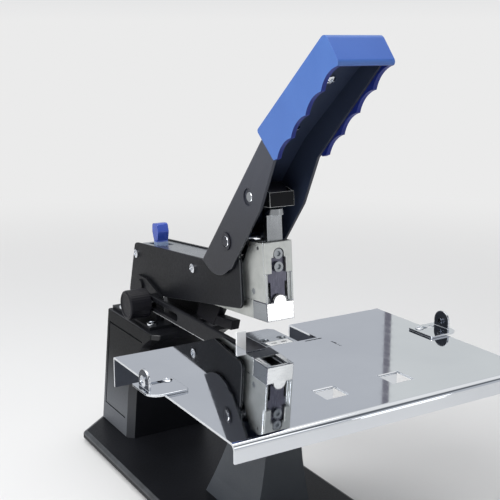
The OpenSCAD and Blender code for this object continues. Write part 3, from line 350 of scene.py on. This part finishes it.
def roundEdges(work, edges, radius, segments=None, edgeSlot=None, way=None, leastTurn=0.3):
    # the rounded faces take edgeSlot, or only those of them that turn a given way
    made = bmesh.ops.bevel(work, geom=edges, offset=radius * mm, offset_type="OFFSET",
        segments=segments or (3 if radius >= 1 else 2), profile=0.5, affect="EDGES", clamp_overlap=True)
    work.normal_update()
    if edgeSlot is not None:
        for face in made["faces"]:
            if way is None or face.normal.dot(Vector(way)) > leastTurn:
                face.material_index = edgeSlot


def toMesh(work, name):
    mesh = bpy.data.meshes.new(name)
    work.to_mesh(mesh)
    work.free()
    return mesh


def placePiece(name, mesh, finish, node):
    for polygon in mesh.polygons:
        polygon.use_smooth = True
    mesh.set_sharp_from_angle(angle=smoothAngle)
    for material in finish:
        mesh.materials.append(materials[material])
    piece = bpy.data.objects.new(name, mesh)
    bpy.context.scene.collection.objects.link(piece)
    # keeps the flats flat beside the rounded edges
    even = piece.modifiers.new("evenNormals", "WEIGHTED_NORMAL")
    even.keep_sharp = True
    even.weight = 100
    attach(piece, bodyOf[node])
    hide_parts(node)
    return piece


def cutAway(mesh, cutters):
    # the mesh with each cutter taken out of it
    body = bpy.data.objects.new("bodyToCut", mesh)
    bpy.context.scene.collection.objects.link(body)
    helpers = []
    for cutter in cutters:
        helper = bpy.data.objects.new("cutter", cutter)
        bpy.context.scene.collection.objects.link(helper)
        step = body.modifiers.new("cut", "BOOLEAN")
        step.operation = "DIFFERENCE"
        step.solver = "EXACT"
        step.object = helper
        helpers.append(helper)
    bpy.context.view_layer.update()
    result = bpy.data.meshes.new_from_object(body.evaluated_get(bpy.context.evaluated_depsgraph_get()))
    for helper in helpers + [body]:
        bpy.data.objects.remove(helper)
    return result


def closeRings(work, rings):
    # walls between each ring of points and the next, and a cap at both ends
    count = len(rings[0])
    for near, far in zip(rings, rings[1:]):
        for i in range(count):
            j = (i + 1) % count
            work.faces.new((near[j], near[i], far[i], far[j]))
    work.faces.new(rings[0])
    work.faces.new(rings[-1][::-1])
    bmesh.ops.recalc_face_normals(work, faces=work.faces)


def prism(outline, x0, x1):
    # a side outline of (y, z) about the staple line, pushed out across the machine
    work = bmesh.new()
    closeRings(work, [[work.verts.new(benchPoint(x, y, z)) for y, z in outline] for x in (x0, x1)])
    return work


# pieces taken from the frame, with their edges rounded as made

finishes = {
    # node: material, edge radius in mm, material of the edges where it differs, most often a painted highlight,
    # the way those edges face
    "base_plate": ("coat", 1.4, "rubbed"),
    "rubber_feet": ("rubber", 0.6),
    "base_screws": ("steel", 0),
    "column_core": ("steel", 0),
    "front_post": ("post", 1.2),
    "anvil_screws": ("steel", 0),
    "table_bracket": ("coat", 0.4, "rubbed"),
    "table_bolts": ("oxide", 0.3),
    "top_bracket": ("coat", 0.5),
    "bracket_screws": ("chrome", 0),
    "arm_pivot_pin": ("coat", 0.5),
    "arm_spring": ("spring", 0),
    "arm_cover_left": ("coat", 1.2, "rubbed"),
    "arm_cover_right": ("coat", 1.2, "rubbed"),
    "arm_frame": ("steel", 0.4),
    "pivot_bushes": ("bronze", 0),
    "staple_rail": ("steel", 0),
    "staple_strip": ("staples", 0),
    "pusher_rod": ("steel", 0),
    "pusher_spring": ("spring", 0),
    "magazine_catch": ("nylon", 0.8),
    "catch_pad": ("nylon", 0.8),
    "head_casting": ("cast", 0.5, "ground"),
    "front_plate": ("cast", 0.4),
    "cover_screws": ("chrome", 0),
    "shaft_rings": ("oxide", 0.3),
    "lever_spring": ("spring", 0),
    "ram_springs": ("spring", 0),
    "latch_pin": ("steel", 0),
    "pusher": ("nylon", 0.4),
    "grip_screws": ("chrome", 0),
    "lever_bushes": ("bronze", 0),
    "push_roller": ("oxide", 0.8),
    # the strap's edges are pale as a painted highlight
    "roller_strap": ("coat", 0.9, "zinc"),
    "ram": ("ram", 0.4, "ground"),
    "driver_plate": ("blued", 0.15),
    "driver_screws": ("steel", 0.2),
    # the lower edges of the bar take a painted highlight
    "depth_bar": ("coat", 0.95, "worn", (0, 0, -1)),
    "stop_plate": ("zinc", 0.4),
    "stop_screw": ("oxide", 0),
    "clamp_stud": ("steel", 0),
    "table_runners": ("coat", 0.3),
    "guide_screws": ("chrome", 0),
    "left_ear_screw": ("chrome", 0),
    "right_ear_screw": ("chrome", 0),
}

springJoints = {"ram_springs": "ram_slide", "pusher_spring": "pusher_slide"}


def pressSpring(piece):
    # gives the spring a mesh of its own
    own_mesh(piece)


for node, (main, radius, *edge) in finishes.items():
    work = cleanCopy(node)
    if radius:
        roundEdges(work, creases(work), radius, None, 1 if edge else None, *edge[1:])
    piece = placePiece(node + "_piece", toMesh(work, node + "Mesh"), [main] + edge[:1], node)
    if node in springJoints:
        pressSpring(piece)
print("pieces rounded:", len(finishes), "with", len(springJoints), "springs that shorten")


# column: a moulded cover with chamfered front corners and a panel line on each side

columnShape = {
    # millimetres about the staple line
    "halfWidth": 42, "chamfer": 6, "wall": 3, "foot": -145, "top": -26, "edge": 1.2, "openBelow": 10,
    "toeFront": 194, "toeRear": 258, "topRear": 234, "topFront": 132, "cornerTurn": 0.25,
    "lip": (134, -31), "swell": (172, -50), "knee": (186, -97), "steps": 24, "flatDegrees": 0.2,
    "panelLine": ((158, -38.5), (230.5, -38.5), (247.8, -125.3), (201.5, -125.3)),
    "lineWide": 1.5, "lineDeep": 1.1, "lineOver": 2,
}


def columnOutline(shape, back, wall, drop):
    # the front runs down from the lip over the swell to the knee
    points = []
    for i in range(shape["steps"] + 1):
        t = i / shape["steps"]
        y, z = [(1 - t) ** 2 * a + 2 * t * (1 - t) * b + t * t * c
            for a, b, c in zip(shape["lip"], shape["swell"], shape["knee"])]
        points.append((y + back + wall, z - wall * (1 - t)))
    foot, top = shape["foot"] - drop, shape["top"] - wall
    return points + [(shape["toeFront"] + back + wall, foot), (shape["toeRear"] - wall, foot),
        (shape["topRear"] - wall, top), (shape["topFront"] + back + wall, top)]


def bandOutline(line, width):
    # a thin band along a bent line, mitred at its corners
    sides = ([], [])
    for i, point in enumerate(line):
        spot = Vector(point)
        into = (spot - Vector(line[i - 1])).normalized() if i else (Vector(line[1]) - spot).normalized()
        out = (Vector(line[i + 1]) - spot).normalized() if i + 1 < len(line) else into
        across = Vector((-(into + out).y, (into + out).x)).normalized()
        reach = width / 2 / across.dot(Vector((-into.y, into.x)))
        sides[0].append(tuple(spot + across * reach))
        sides[1].append(tuple(spot - across * reach))
    return sides[0] + sides[1][::-1]


def makeColumn(shape):
    work = bmesh.new()
    half, step, wall = shape["halfWidth"], shape["chamfer"], shape["wall"]
    rings = []
    for x, back in ((-half, step), (step - half, 0), (half - step, 0), (half, step)):
        rings.append([work.verts.new(benchPoint(x, y, z)) for y, z in columnOutline(shape, back, 0, 0)])
    closeRings(work, rings)
    bmesh.ops.dissolve_limit(work, angle_limit=math.radians(shape["flatDegrees"]),
        verts=work.verts, edges=work.edges)
    roundEdges(work, creases(work), shape["edge"])
    inside = prism(columnOutline(shape, step, wall, shape["openBelow"]), wall - half, half - wall)
    band = bandOutline(shape["panelLine"], shape["lineWide"])
    cutters = [toMesh(inside, "columnInside")]
    for side in (-1, 1):
        groove = prism(band, side * (half - shape["lineDeep"]), side * (half + shape["lineOver"]))
        cutters.append(toMesh(groove, "panelLine"))
    shell = bmesh.new()
    shell.from_mesh(cutAway(toMesh(work, "columnBlock"), cutters))
    # the sides take the coat with painted shade and a painted reflection at the foot, the corners a painted
    # reflection at the foot, the front the plain coat
    for face in shell.faces:
        turn = abs(face.normal.x)  # most on the sides, less on the corners
        face.material_index = 0 if turn > mostly else 1 if turn > shape["cornerTurn"] else 2
    return toMesh(shell, "columnMesh")


placePiece("column_cover_piece", makeColumn(columnShape), ("column", "corner", "coat"), "column_cover")
print("column made")


# lever: bent sheet, rounded wide along its folds and a little on its cut edges

leverShape = {
    "fold": 2.6, "foldSteps": 5, "edge": 0.4, "back": (0, 0.77, 0.64),
    "foldsFrom": 19, "insideTo": 17.6,  # millimetres from the middle plane
}


def makeLever(shape):
    work = cleanCopy("lever_channel")
    back = Vector(shape["back"])
    folds = []
    for edge in creases(work):
        normals = [f.normal for f in edge.link_faces]
        if any(abs(n.x) > mostly for n in normals) and any(n.dot(back) > halfway for n in normals):
            if all(abs(v.co.x) > shape["foldsFrom"] * mm for v in edge.verts):
                folds.append(edge)
    roundEdges(work, folds, shape["fold"], shape["foldSteps"])
    # the cut edges take a painted highlight
    roundEdges(work, creases(work), shape["edge"], edgeSlot=1)
    # the inside faces take the paler, bluer enamel: painted fill light
    for face in work.faces:
        within = abs(face.calc_center_median().x) < shape["insideTo"] * mm
        if within and (abs(face.normal.x) > mostly or face.normal.dot(back) < -halfway):
            face.material_index = 2
    return toMesh(work, "leverMesh")


placePiece("lever_channel_piece", makeLever(leverShape), ("lever", "rubbed", "inside"), "lever_channel")
print("lever made")


# grip: moulded, with soft edges and thin lips round the open side

gripShape = {
    "edge": 1.2, "edgeSteps": 4, "endCorner": 3.2, "cornerSteps": 5, "endBand": 3,
    "openSide": (0, -0.58, -0.81), "end": (0, -0.765, 0.644),
    "endTurn": 0.96, "sideTurn": 0.7, "hollowTurn": 0.15,
    "lipWas": 16.0, "lipNow": 18.9, "lipNear": 0.1, "sidesFrom": 21,  # millimetres from the middle plane
}


def makeGrip(shape):
    work = cleanCopy("grip")
    openSide, end = Vector(shape["openSide"]), Vector(shape["end"])
    for vert in work.verts:
        if abs(abs(vert.co.x) - shape["lipWas"] * mm) < shape["lipNear"] * mm:
            vert.co.x = math.copysign(shape["lipNow"] * mm, vert.co.x)
    work.normal_update()
    reach = max(v.co.dot(end) for v in work.verts)
    outer = {f for f in work.faces if abs(f.normal.x) > mostly
        and abs(f.calc_center_median().x) > shape["sidesFrom"] * mm}
    corners = [e for e in creases(work) if set(e.link_faces) & outer
        and any(f.normal.dot(end) > mostly for f in e.link_faces)]
    roundEdges(work, corners, shape["endCorner"], shape["cornerSteps"])
    roundEdges(work, creases(work), shape["edge"], shape["edgeSteps"])
    for face in work.faces:
        middle = face.calc_center_median()
        toSide = abs(face.normal.x) > shape["sideTurn"]
        toOpen = face.normal.dot(openSide) > shape["hollowTurn"]
        # the end takes a deeper blue as painted shade
        if face.normal.dot(end) > shape["endTurn"]:
            face.material_index = 2
        elif toOpen and not toSide and middle.dot(end) < reach - shape["endBand"] * mm:
            face.material_index = 1  # finger hollows, painted shade
        elif toSide and face.normal.x * middle.x < 0:
            face.material_index = 1  # inner sides, painted shade
    return toMesh(work, "gripMesh")


placePiece("grip_piece", makeGrip(gripShape), ("blue", "shadedBlue", "endBlue"), "grip")
print("grip made")


# latch tab: moulded, with wide soft edges

tabShape = {"edge": 2.0, "edgeSteps": 4}


def makeTab(shape):
    work = cleanCopy("latch_tab")
    roundEdges(work, creases(work), shape["edge"], shape["edgeSteps"])
    return toMesh(work, "latchTabMesh")


placePiece("latch_tab_piece", makeTab(tabShape), ("tabBlue",), "latch_tab")
print("latch tab made")


# clamp knob: turned profile with a dished face and a fine ribbed rim

knobShape = {
    "at": (170, -6), "ribs": 36, "ribDeep": 0.22, "steps": 4,
    # distance from the middle plane, radius
    "profile": ((-29.6, 3.2), (-29.6, 6.6), (-31.3, 7), (-31.3, 12), (-31.7, 12.7), (-32.6, 13), (-49.2, 13),
        (-50.5, 12.6), (-51.1, 11.8), (-51.3, 10.9), (-50.9, 10.2), (-50.5, 9.6), (-50.4, 5), (-50.7, 0.01)),
    "ribbed": (5, 6),  # rows of the profile
}


def makeKnob(shape):
    work = bmesh.new()
    around = shape["ribs"] * shape["steps"]
    y, z = shape["at"]
    rings = []
    for row, (x, radius) in enumerate(shape["profile"]):
        ring = []
        for i in range(around):
            turn = 2 * math.pi * i / around
            wave = 0.5 - 0.5 * math.cos(turn * shape["ribs"]) if row in shape["ribbed"] else 0
            reach = radius - shape["ribDeep"] * wave
            ring.append(work.verts.new(benchPoint(x, y + reach * math.cos(turn), z + reach * math.sin(turn))))
        rings.append(ring)
    closeRings(work, rings)
    return toMesh(work, "knobMesh")


placePiece("clamp_knob_piece", makeKnob(knobShape), ("nylon",), "clamp_knob")
print("knob made")


# table: one bent sheet, polished above, with painted shade on its underside and the inner faces of its flanges,
# and two windows whose tabs hang from their rear edges

tableShape = {
    # millimetres about the staple line
    "halfWidth": 120, "front": -140, "rear": 34, "sheet": 1.5, "edge": 0.35,
    "frontFold": 4.5, "rearFold": 2, "foldSteps": 8, "frontFlange": 12, "rearFlange": 23,
    "flangeBand": 3, "underBand": 4,  # how near a face in painted shade lies to the flange or the top
    # openings: x from and to, y from and to
    "slot": (-31, 31, -5.5, 40), "window": (18, 36, -112, -94),
    "slits": ((18, 33, -9.3, -7.7), (34.4, 36, -31, -18.5)), "cutFrom": -60, "cutTo": 5,
    "tab": (19.2, 34.8, -14), "tabSteps": 4, "tabInto": 0.05,  # x from and to, and its lower edge
    "screwHole": (109.5, -33, 2.1), "holeSides": 32, "holeDeep": 10,  # x, y and radius
}


def arcPoints(centre, radius, start, end, steps):
    turns = [math.radians(start + (end - start) * i / steps) for i in range(steps + 1)]
    return [(centre[0] + radius * math.cos(a), centre[1] + radius * math.sin(a)) for a in turns]


def openingBlock(shape, x0, x1, y0, y1):
    low, high = shape["cutFrom"], shape["cutTo"]
    return toMesh(prism([(y0, low), (y1, low), (y1, high), (y0, high)], x0, x1), "opening")


def sheetOutline(shape):
    # over the front fold, down its flange and back, then the same at the rear
    front, rear, sheet, steps = shape["front"], shape["rear"], shape["sheet"], shape["foldSteps"]
    big, small = shape["frontFold"], shape["rearFold"]
    frontFold, rearFold = (front + big, -big), (rear - small, -small)
    outline = arcPoints(frontFold, big, 90, 180, steps)
    outline += [(front, -shape["frontFlange"]), (front + sheet, -shape["frontFlange"])]
    outline += arcPoints(frontFold, big - sheet, 180, 90, steps)
    outline += arcPoints(rearFold, small - sheet, 90, 0, steps)
    outline += [(rear - sheet, -shape["rearFlange"]), (rear, -shape["rearFlange"])]
    return outline + arcPoints(rearFold, small, 0, 90, steps)


def tableOpenings(shape):
    holes = bmesh.new()
    x, y, radius = shape["screwHole"]
    for side in (-1, 1):
        for x0, x1, y0, y1 in (shape["window"],) + shape["slits"]:
            holes.from_mesh(openingBlock(shape, side * x0, side * x1, y0, y1))
        bmesh.ops.create_cone(holes, cap_ends=True, segments=shape["holeSides"], depth=shape["holeDeep"] * mm,
            radius1=radius * mm, radius2=radius * mm, matrix=Matrix.Translation(benchPoint(side * x, y, 0)))
    return toMesh(holes, "openings")


def windowTab(shape, side):
    # bends down from the window's rear edge
    x0, x1, low = shape["tab"]
    edge, sheet, into = shape["window"][3], shape["sheet"], shape["tabInto"]
    bend = arcPoints((edge, -sheet), sheet, 90, 180, shape["tabSteps"])
    fold = [(edge + into, 0)] + bend + [(edge - sheet, low), (edge, low), (edge + into, -sheet)]
    return toMesh(prism(fold, side * x0, side * x1), "tab")


def makeTable(shape):
    plain = toMesh(prism(sheetOutline(shape), -shape["halfWidth"], shape["halfWidth"]), "sheet")
    work = bmesh.new()
    work.from_mesh(cutAway(plain, [openingBlock(shape, *shape["slot"]), tableOpenings(shape)]))
    for side in (-1, 1):
        work.from_mesh(windowTab(shape, side))
    bmesh.ops.remove_doubles(work, verts=work.verts, dist=weldGap)
    roundEdges(work, creases(work), shape["edge"])
    rearFace = benchPoint(0, shape["rear"] - shape["flangeBand"], 0).y
    frontFace = benchPoint(0, shape["front"] + shape["flangeBand"], 0).y
    under = benchPoint(0, 0, -shape["underBand"]).z
    # faces under the top and inside the flanges take painted shade
    for face in work.faces:
        middle, normal = face.calc_center_median(), face.normal
        inRear = normal.y < -squarely and middle.y > rearFace
        inFront = normal.y > squarely and middle.y < frontFace
        if inRear or inFront or (normal.z < -squarely and middle.z > under):
            face.material_index = 1
    return toMesh(work, "tableMesh")


placePiece("table_plate_piece", makeTable(tableShape), ("chrome", "paintedShade"), "table_plate")
print("table made")


# pieces whose faces across the machine were left in another finish

sidePieces = {
    # node: edge radius in mm, main finish, finish of the faces to the sides, finish of the edges
    "nose_block": (0.8, "nickel", "steel", "blued"),
    "anvil_block": (0.4, "ground", "oxide", "ground"),
    "lever_shaft": (1.2, "chrome", "oxide", "chrome"),
    "push_pin": (1.0, "chrome", "steel", "chrome"),
    # on the guides the side faces take painted shade
    "left_guide": (0.3, "chrome", "paintedShade", "chrome"),
    "right_guide": (0.3, "chrome", "paintedShade", "chrome"),
}


def makeSided(node, radius):
    work = cleanCopy(node)
    roundEdges(work, creases(work), radius, edgeSlot=2)
    for face in work.faces:
        if abs(face.normal.x) > squarely:
            face.material_index = 1
    return toMesh(work, node + "Mesh")


for node, (radius, *finish) in sidePieces.items():
    placePiece(node + "_piece", makeSided(node, radius), finish, node)
print("sided pieces made:", len(sidePieces))


# head dowels: the upper ones blackened, the lower one left grey

dowelShape = {"edge": 0.2}


def makeDowels(shape):
    work = cleanCopy("head_dowels")
    heights = [v.co.z for v in work.verts]
    roundEdges(work, creases(work), shape["edge"])
    for face in work.faces:
        if face.calc_center_median().z < (min(heights) + max(heights)) / 2:
            face.material_index = 1
    return toMesh(work, "dowelMesh")


placePiece("head_dowels_piece", makeDowels(dowelShape), ("oxide", "steel"), "head_dowels")


# magazine: cast, with painted shade on its underside

magazineShape = {"edge": 0.3, "underTurn": 0.6}


def makeMagazine(shape):
    work = cleanCopy("magazine")
    roundEdges(work, creases(work), shape["edge"])
    for face in work.faces:
        if face.normal.z < -shape["underTurn"]:
            face.material_index = 1
    return toMesh(work, "magazineMesh")


placePiece("magazine_piece", makeMagazine(magazineShape), ("cast", "paintedShade"), "magazine")


# anvil insert: painted pale all over as a painted highlight, with painted shade in the grooves where the staples
# turn

insertShape = {"edge": 0.2, "grooveDeep": 0.15, "upTurn": 0.05}


def makeInsert(shape):
    work = cleanCopy("anvil_insert")
    top = max(v.co.z for v in work.verts)
    roundEdges(work, creases(work), shape["edge"])
    for face in work.faces:
        sunk = face.calc_center_median().z < top - shape["grooveDeep"] * mm
        if sunk and face.normal.z > shape["upTurn"]:
            face.material_index = 1
    return toMesh(work, "insertMesh")


placePiece("anvil_insert_piece", makeInsert(insertShape), ("zinc", "paintedShade"), "anvil_insert")
print("dowels, magazine and anvil insert made")


# stage, light and camera

def addDirectRays(tree):
    # 1 where the camera sees it, straight, in a mirror or through glass, and 0 where it only sheds light
    rays = addNode(tree, "ShaderNodeLightPath")
    seen = (rays, "Is Camera Ray")
    for kind in ("Is Glossy Ray", "Is Transmission Ray"):
        seen = (addNode(tree, "ShaderNodeMath", {"operation": "MAXIMUM"}, {0: seen, 1: (rays, kind)}), "Value")
    return seen


stageLook = {"floor": "#DEDEDE", "roughness": 0.8, "far": "#EBEBEB", "sizeM": 40, "fadeM": (0.35, 1.6)}


def makeStage(look):
    # a pale matt floor that keeps the shadow and runs into the pale background further off
    bpy.ops.mesh.primitive_plane_add(size=look["sizeM"])
    floor = bpy.context.object
    floor.name = "floor"
    material, tree, shader = startMaterial("paleFloor", look["floor"], 0, look["roughness"])
    place = addNode(tree, "ShaderNodeTexCoord")
    away = addNode(tree, "ShaderNodeVectorMath", {"operation": "LENGTH"}, {"Vector": (place, "Object")})
    fade = addNode(tree, "ShaderNodeMapRange", {"interpolation_type": "SMOOTHSTEP",
        "From Min": look["fadeM"][0], "From Max": look["fadeM"][1]}, {"Value": (away, "Value")})
    share = addNode(tree, "ShaderNodeMath", {"operation": "MULTIPLY"},
        {0: (fade, "Result"), 1: addDirectRays(tree)})
    glow = addNode(tree, "ShaderNodeEmission", {"Color": toLinear(look["far"])})
    mix = addNode(tree, "ShaderNodeMixShader", {}, {"Fac": (share, "Value"), 1: (shader, 0), 2: (glow, 0)})
    tree.links.new(mix.outputs[0], tree.nodes["Material Output"].inputs["Surface"])
    floor.data.materials.append(material)


makeStage(stageLook)

lamps = {
    # name: place, aim, size in metres, power in watts, and whether it lights matt surfaces or only shiny ones
    "keyLeft": ((-1.3, -0.5, 1.4), (0, 0, 0.2), (1.2, 1.2), 30, True),
    "overhead": ((0.1, 0.1, 1.9), (0, 0, 0.2), (1.5, 1.5), 12, True),
    "noseStrip": ((0.43, -0.75, 0.065), (0, -0.07, 0.18), (0.12, 0.055), 0.045, False),
    "noseStripHigh": ((0.43, -0.75, 0.262), (0, -0.07, 0.17), (0.14, 0.06), 0.06, False),
}


def makeLamp(name, place, aim, size, power, lightsMatt):
    data = bpy.data.lights.new(name, "AREA")
    data.shape = "RECTANGLE"
    data.size, data.size_y = size
    data.energy = power
    lamp = bpy.data.objects.new(name, data)
    lamp.location = place
    lamp.visible_camera = False
    lamp.visible_diffuse = lightsMatt
    lamp.rotation_euler = (Vector(aim) - Vector(place)).to_track_quat("-Z", "Y").to_euler()
    bpy.context.scene.collection.objects.link(lamp)


for name, settings in lamps.items():
    makeLamp(name, *settings)

roomLook = {
    "horizon": "#EBEBEB", "sky": "#C5C8CE", "zenith": "#FFFFFF", "front": "#6C7076", "pane": "#FFFFFF",
    "post": "#7A7983", "wall": "#DEE1E1", "paneGain": 1.5, "strength": 0.65,
    "heights": (0.02, 0.16, 0.5, 0.66),  # horizon, sky from and to, zenith
    # level, and square to the way towards the pane and the post
    "paneWay": (0.8358, 0.549, 0), "postWay": (0.7690, -0.6392, 0),
    "postSpan": (-0.004, 0.016), "postStops": (0.18, 0.21, 0.53, 0.57),  # a strip, and the post's soft edges in it
    # where each part of the room shows: soft edges, each with what it is measured along, its start and its end
    "masks": {
        "front": (("Y", -0.2, -0.38), ("Z", 0.44, 0.5), ("Z", 0.82, 0.76)),
        "pane": (("Y", -0.2, -0.38), ("Z", 0.34, 0.37), ("Z", 0.64, 0.61), ("fromPane", 0.075, 0.06)),
        "back": (("Y", 0.1, 0.2), ("Z", 0.14, 0.2), ("Z", 0.5, 0.44)),
    },
}


def makeRoom(look):
    # soft room: pale at the horizon, quiet grey above for the table to mirror, white overhead, darker in front
    # round one bright pane, with a thin dark post at the back and a paler wall to the right of it
    world = bpy.data.worlds.new("room")
    bpy.context.scene.world = world
    world.use_nodes = True
    tree = world.node_tree
    tree.nodes.clear()
    place = addNode(tree, "ShaderNodeTexCoord")
    split = addNode(tree, "ShaderNodeSeparateXYZ", {}, {"Vector": (place, "Generated")})
    sides = {}
    for way in ("paneWay", "postWay"):
        sides[way] = addNode(tree, "ShaderNodeVectorMath", {"operation": "DOT_PRODUCT", 1: look[way]},
            {0: (place, "Generated")})
    fromPane = addNode(tree, "ShaderNodeMath", {"operation": "ABSOLUTE"}, {0: (sides["paneWay"], "Value")})
    measures = {"Y": (split, "Y"), "Z": (split, "Z"), "fromPane": (fromPane, "Value")}
    masks = {}
    for mask, edges in look["masks"].items():
        for measure, start, end in edges:
            edge = (addNode(tree, "ShaderNodeMapRange", {"From Min": start, "From Max": end},
                {"Value": measures[measure]}), "Result")
            if mask in masks:
                edge = (addNode(tree, "ShaderNodeMath", {"operation": "MULTIPLY"},
                    {0: masks[mask], 1: edge}), "Value")
            masks[mask] = edge
    heightColours = [look[part] for part in ("horizon", "sky", "sky", "zenith")]
    sky = addNode(tree, "ShaderNodeValToRGB", {"stops": list(zip(look["heights"], heightColours))},
        {"Fac": (split, "Z")})
    dimmed = addNode(tree, "ShaderNodeMixRGB", {"Color2": toLinear(look["front"])},
        {"Fac": masks["front"], "Color1": (sky, "Color")})
    paneColour = [c * look["paneGain"] for c in toLinear(look["pane"])]
    glazed = addNode(tree, "ShaderNodeMixRGB", {"Color2": paneColour},
        {"Fac": masks["pane"], "Color1": (dimmed, "Color")})
    near, far = look["postSpan"]
    across = addNode(tree, "ShaderNodeMapRange", {"From Min": near, "From Max": far},
        {"Value": (sides["postWay"], "Value")})
    wallColours = [look[part] for part in ("sky", "post", "post", "wall")]
    wall = addNode(tree, "ShaderNodeValToRGB", {"stops": list(zip(look["postStops"], wallColours))},
        {"Fac": (across, "Result")})
    room = addNode(tree, "ShaderNodeMixRGB", {},
        {"Fac": masks["back"], "Color1": (glazed, "Color"), "Color2": (wall, "Color")})
    light = addNode(tree, "ShaderNodeBackground", {"Strength": look["strength"]}, {"Color": (room, "Color")})
    shown = addNode(tree, "ShaderNodeBackground", {}, {"Color": (room, "Color")})
    mix = addNode(tree, "ShaderNodeMixShader", {}, {"Fac": addDirectRays(tree), 1: (light, 0), 2: (shown, 0)})
    addNode(tree, "ShaderNodeOutputWorld", {}, {"Surface": (mix, "Shader")})


makeRoom(roomLook)

cameraLook = {
    "place": (-0.3611, -0.6189, 0.3783), "forward": (0.5032, 0.8352, -0.2220),
    "lensMm": 66.41, "sensorMm": 36, "clipM": 0.02,
}


def makeCamera(look):
    data = bpy.data.cameras.new("photoCamera")
    data.lens = look["lensMm"]
    data.sensor_width = look["sensorMm"]
    data.clip_start = look["clipM"]
    camera = bpy.data.objects.new("photoCamera", data)
    camera.location = look["place"]
    camera.rotation_euler = Vector(look["forward"]).to_track_quat("-Z", "Y").to_euler()
    bpy.context.scene.collection.objects.link(camera)
    bpy.context.scene.camera = camera


makeCamera(cameraLook)
bpy.context.scene.view_settings.view_transform = "Standard"
print("stage, lamps and camera set")
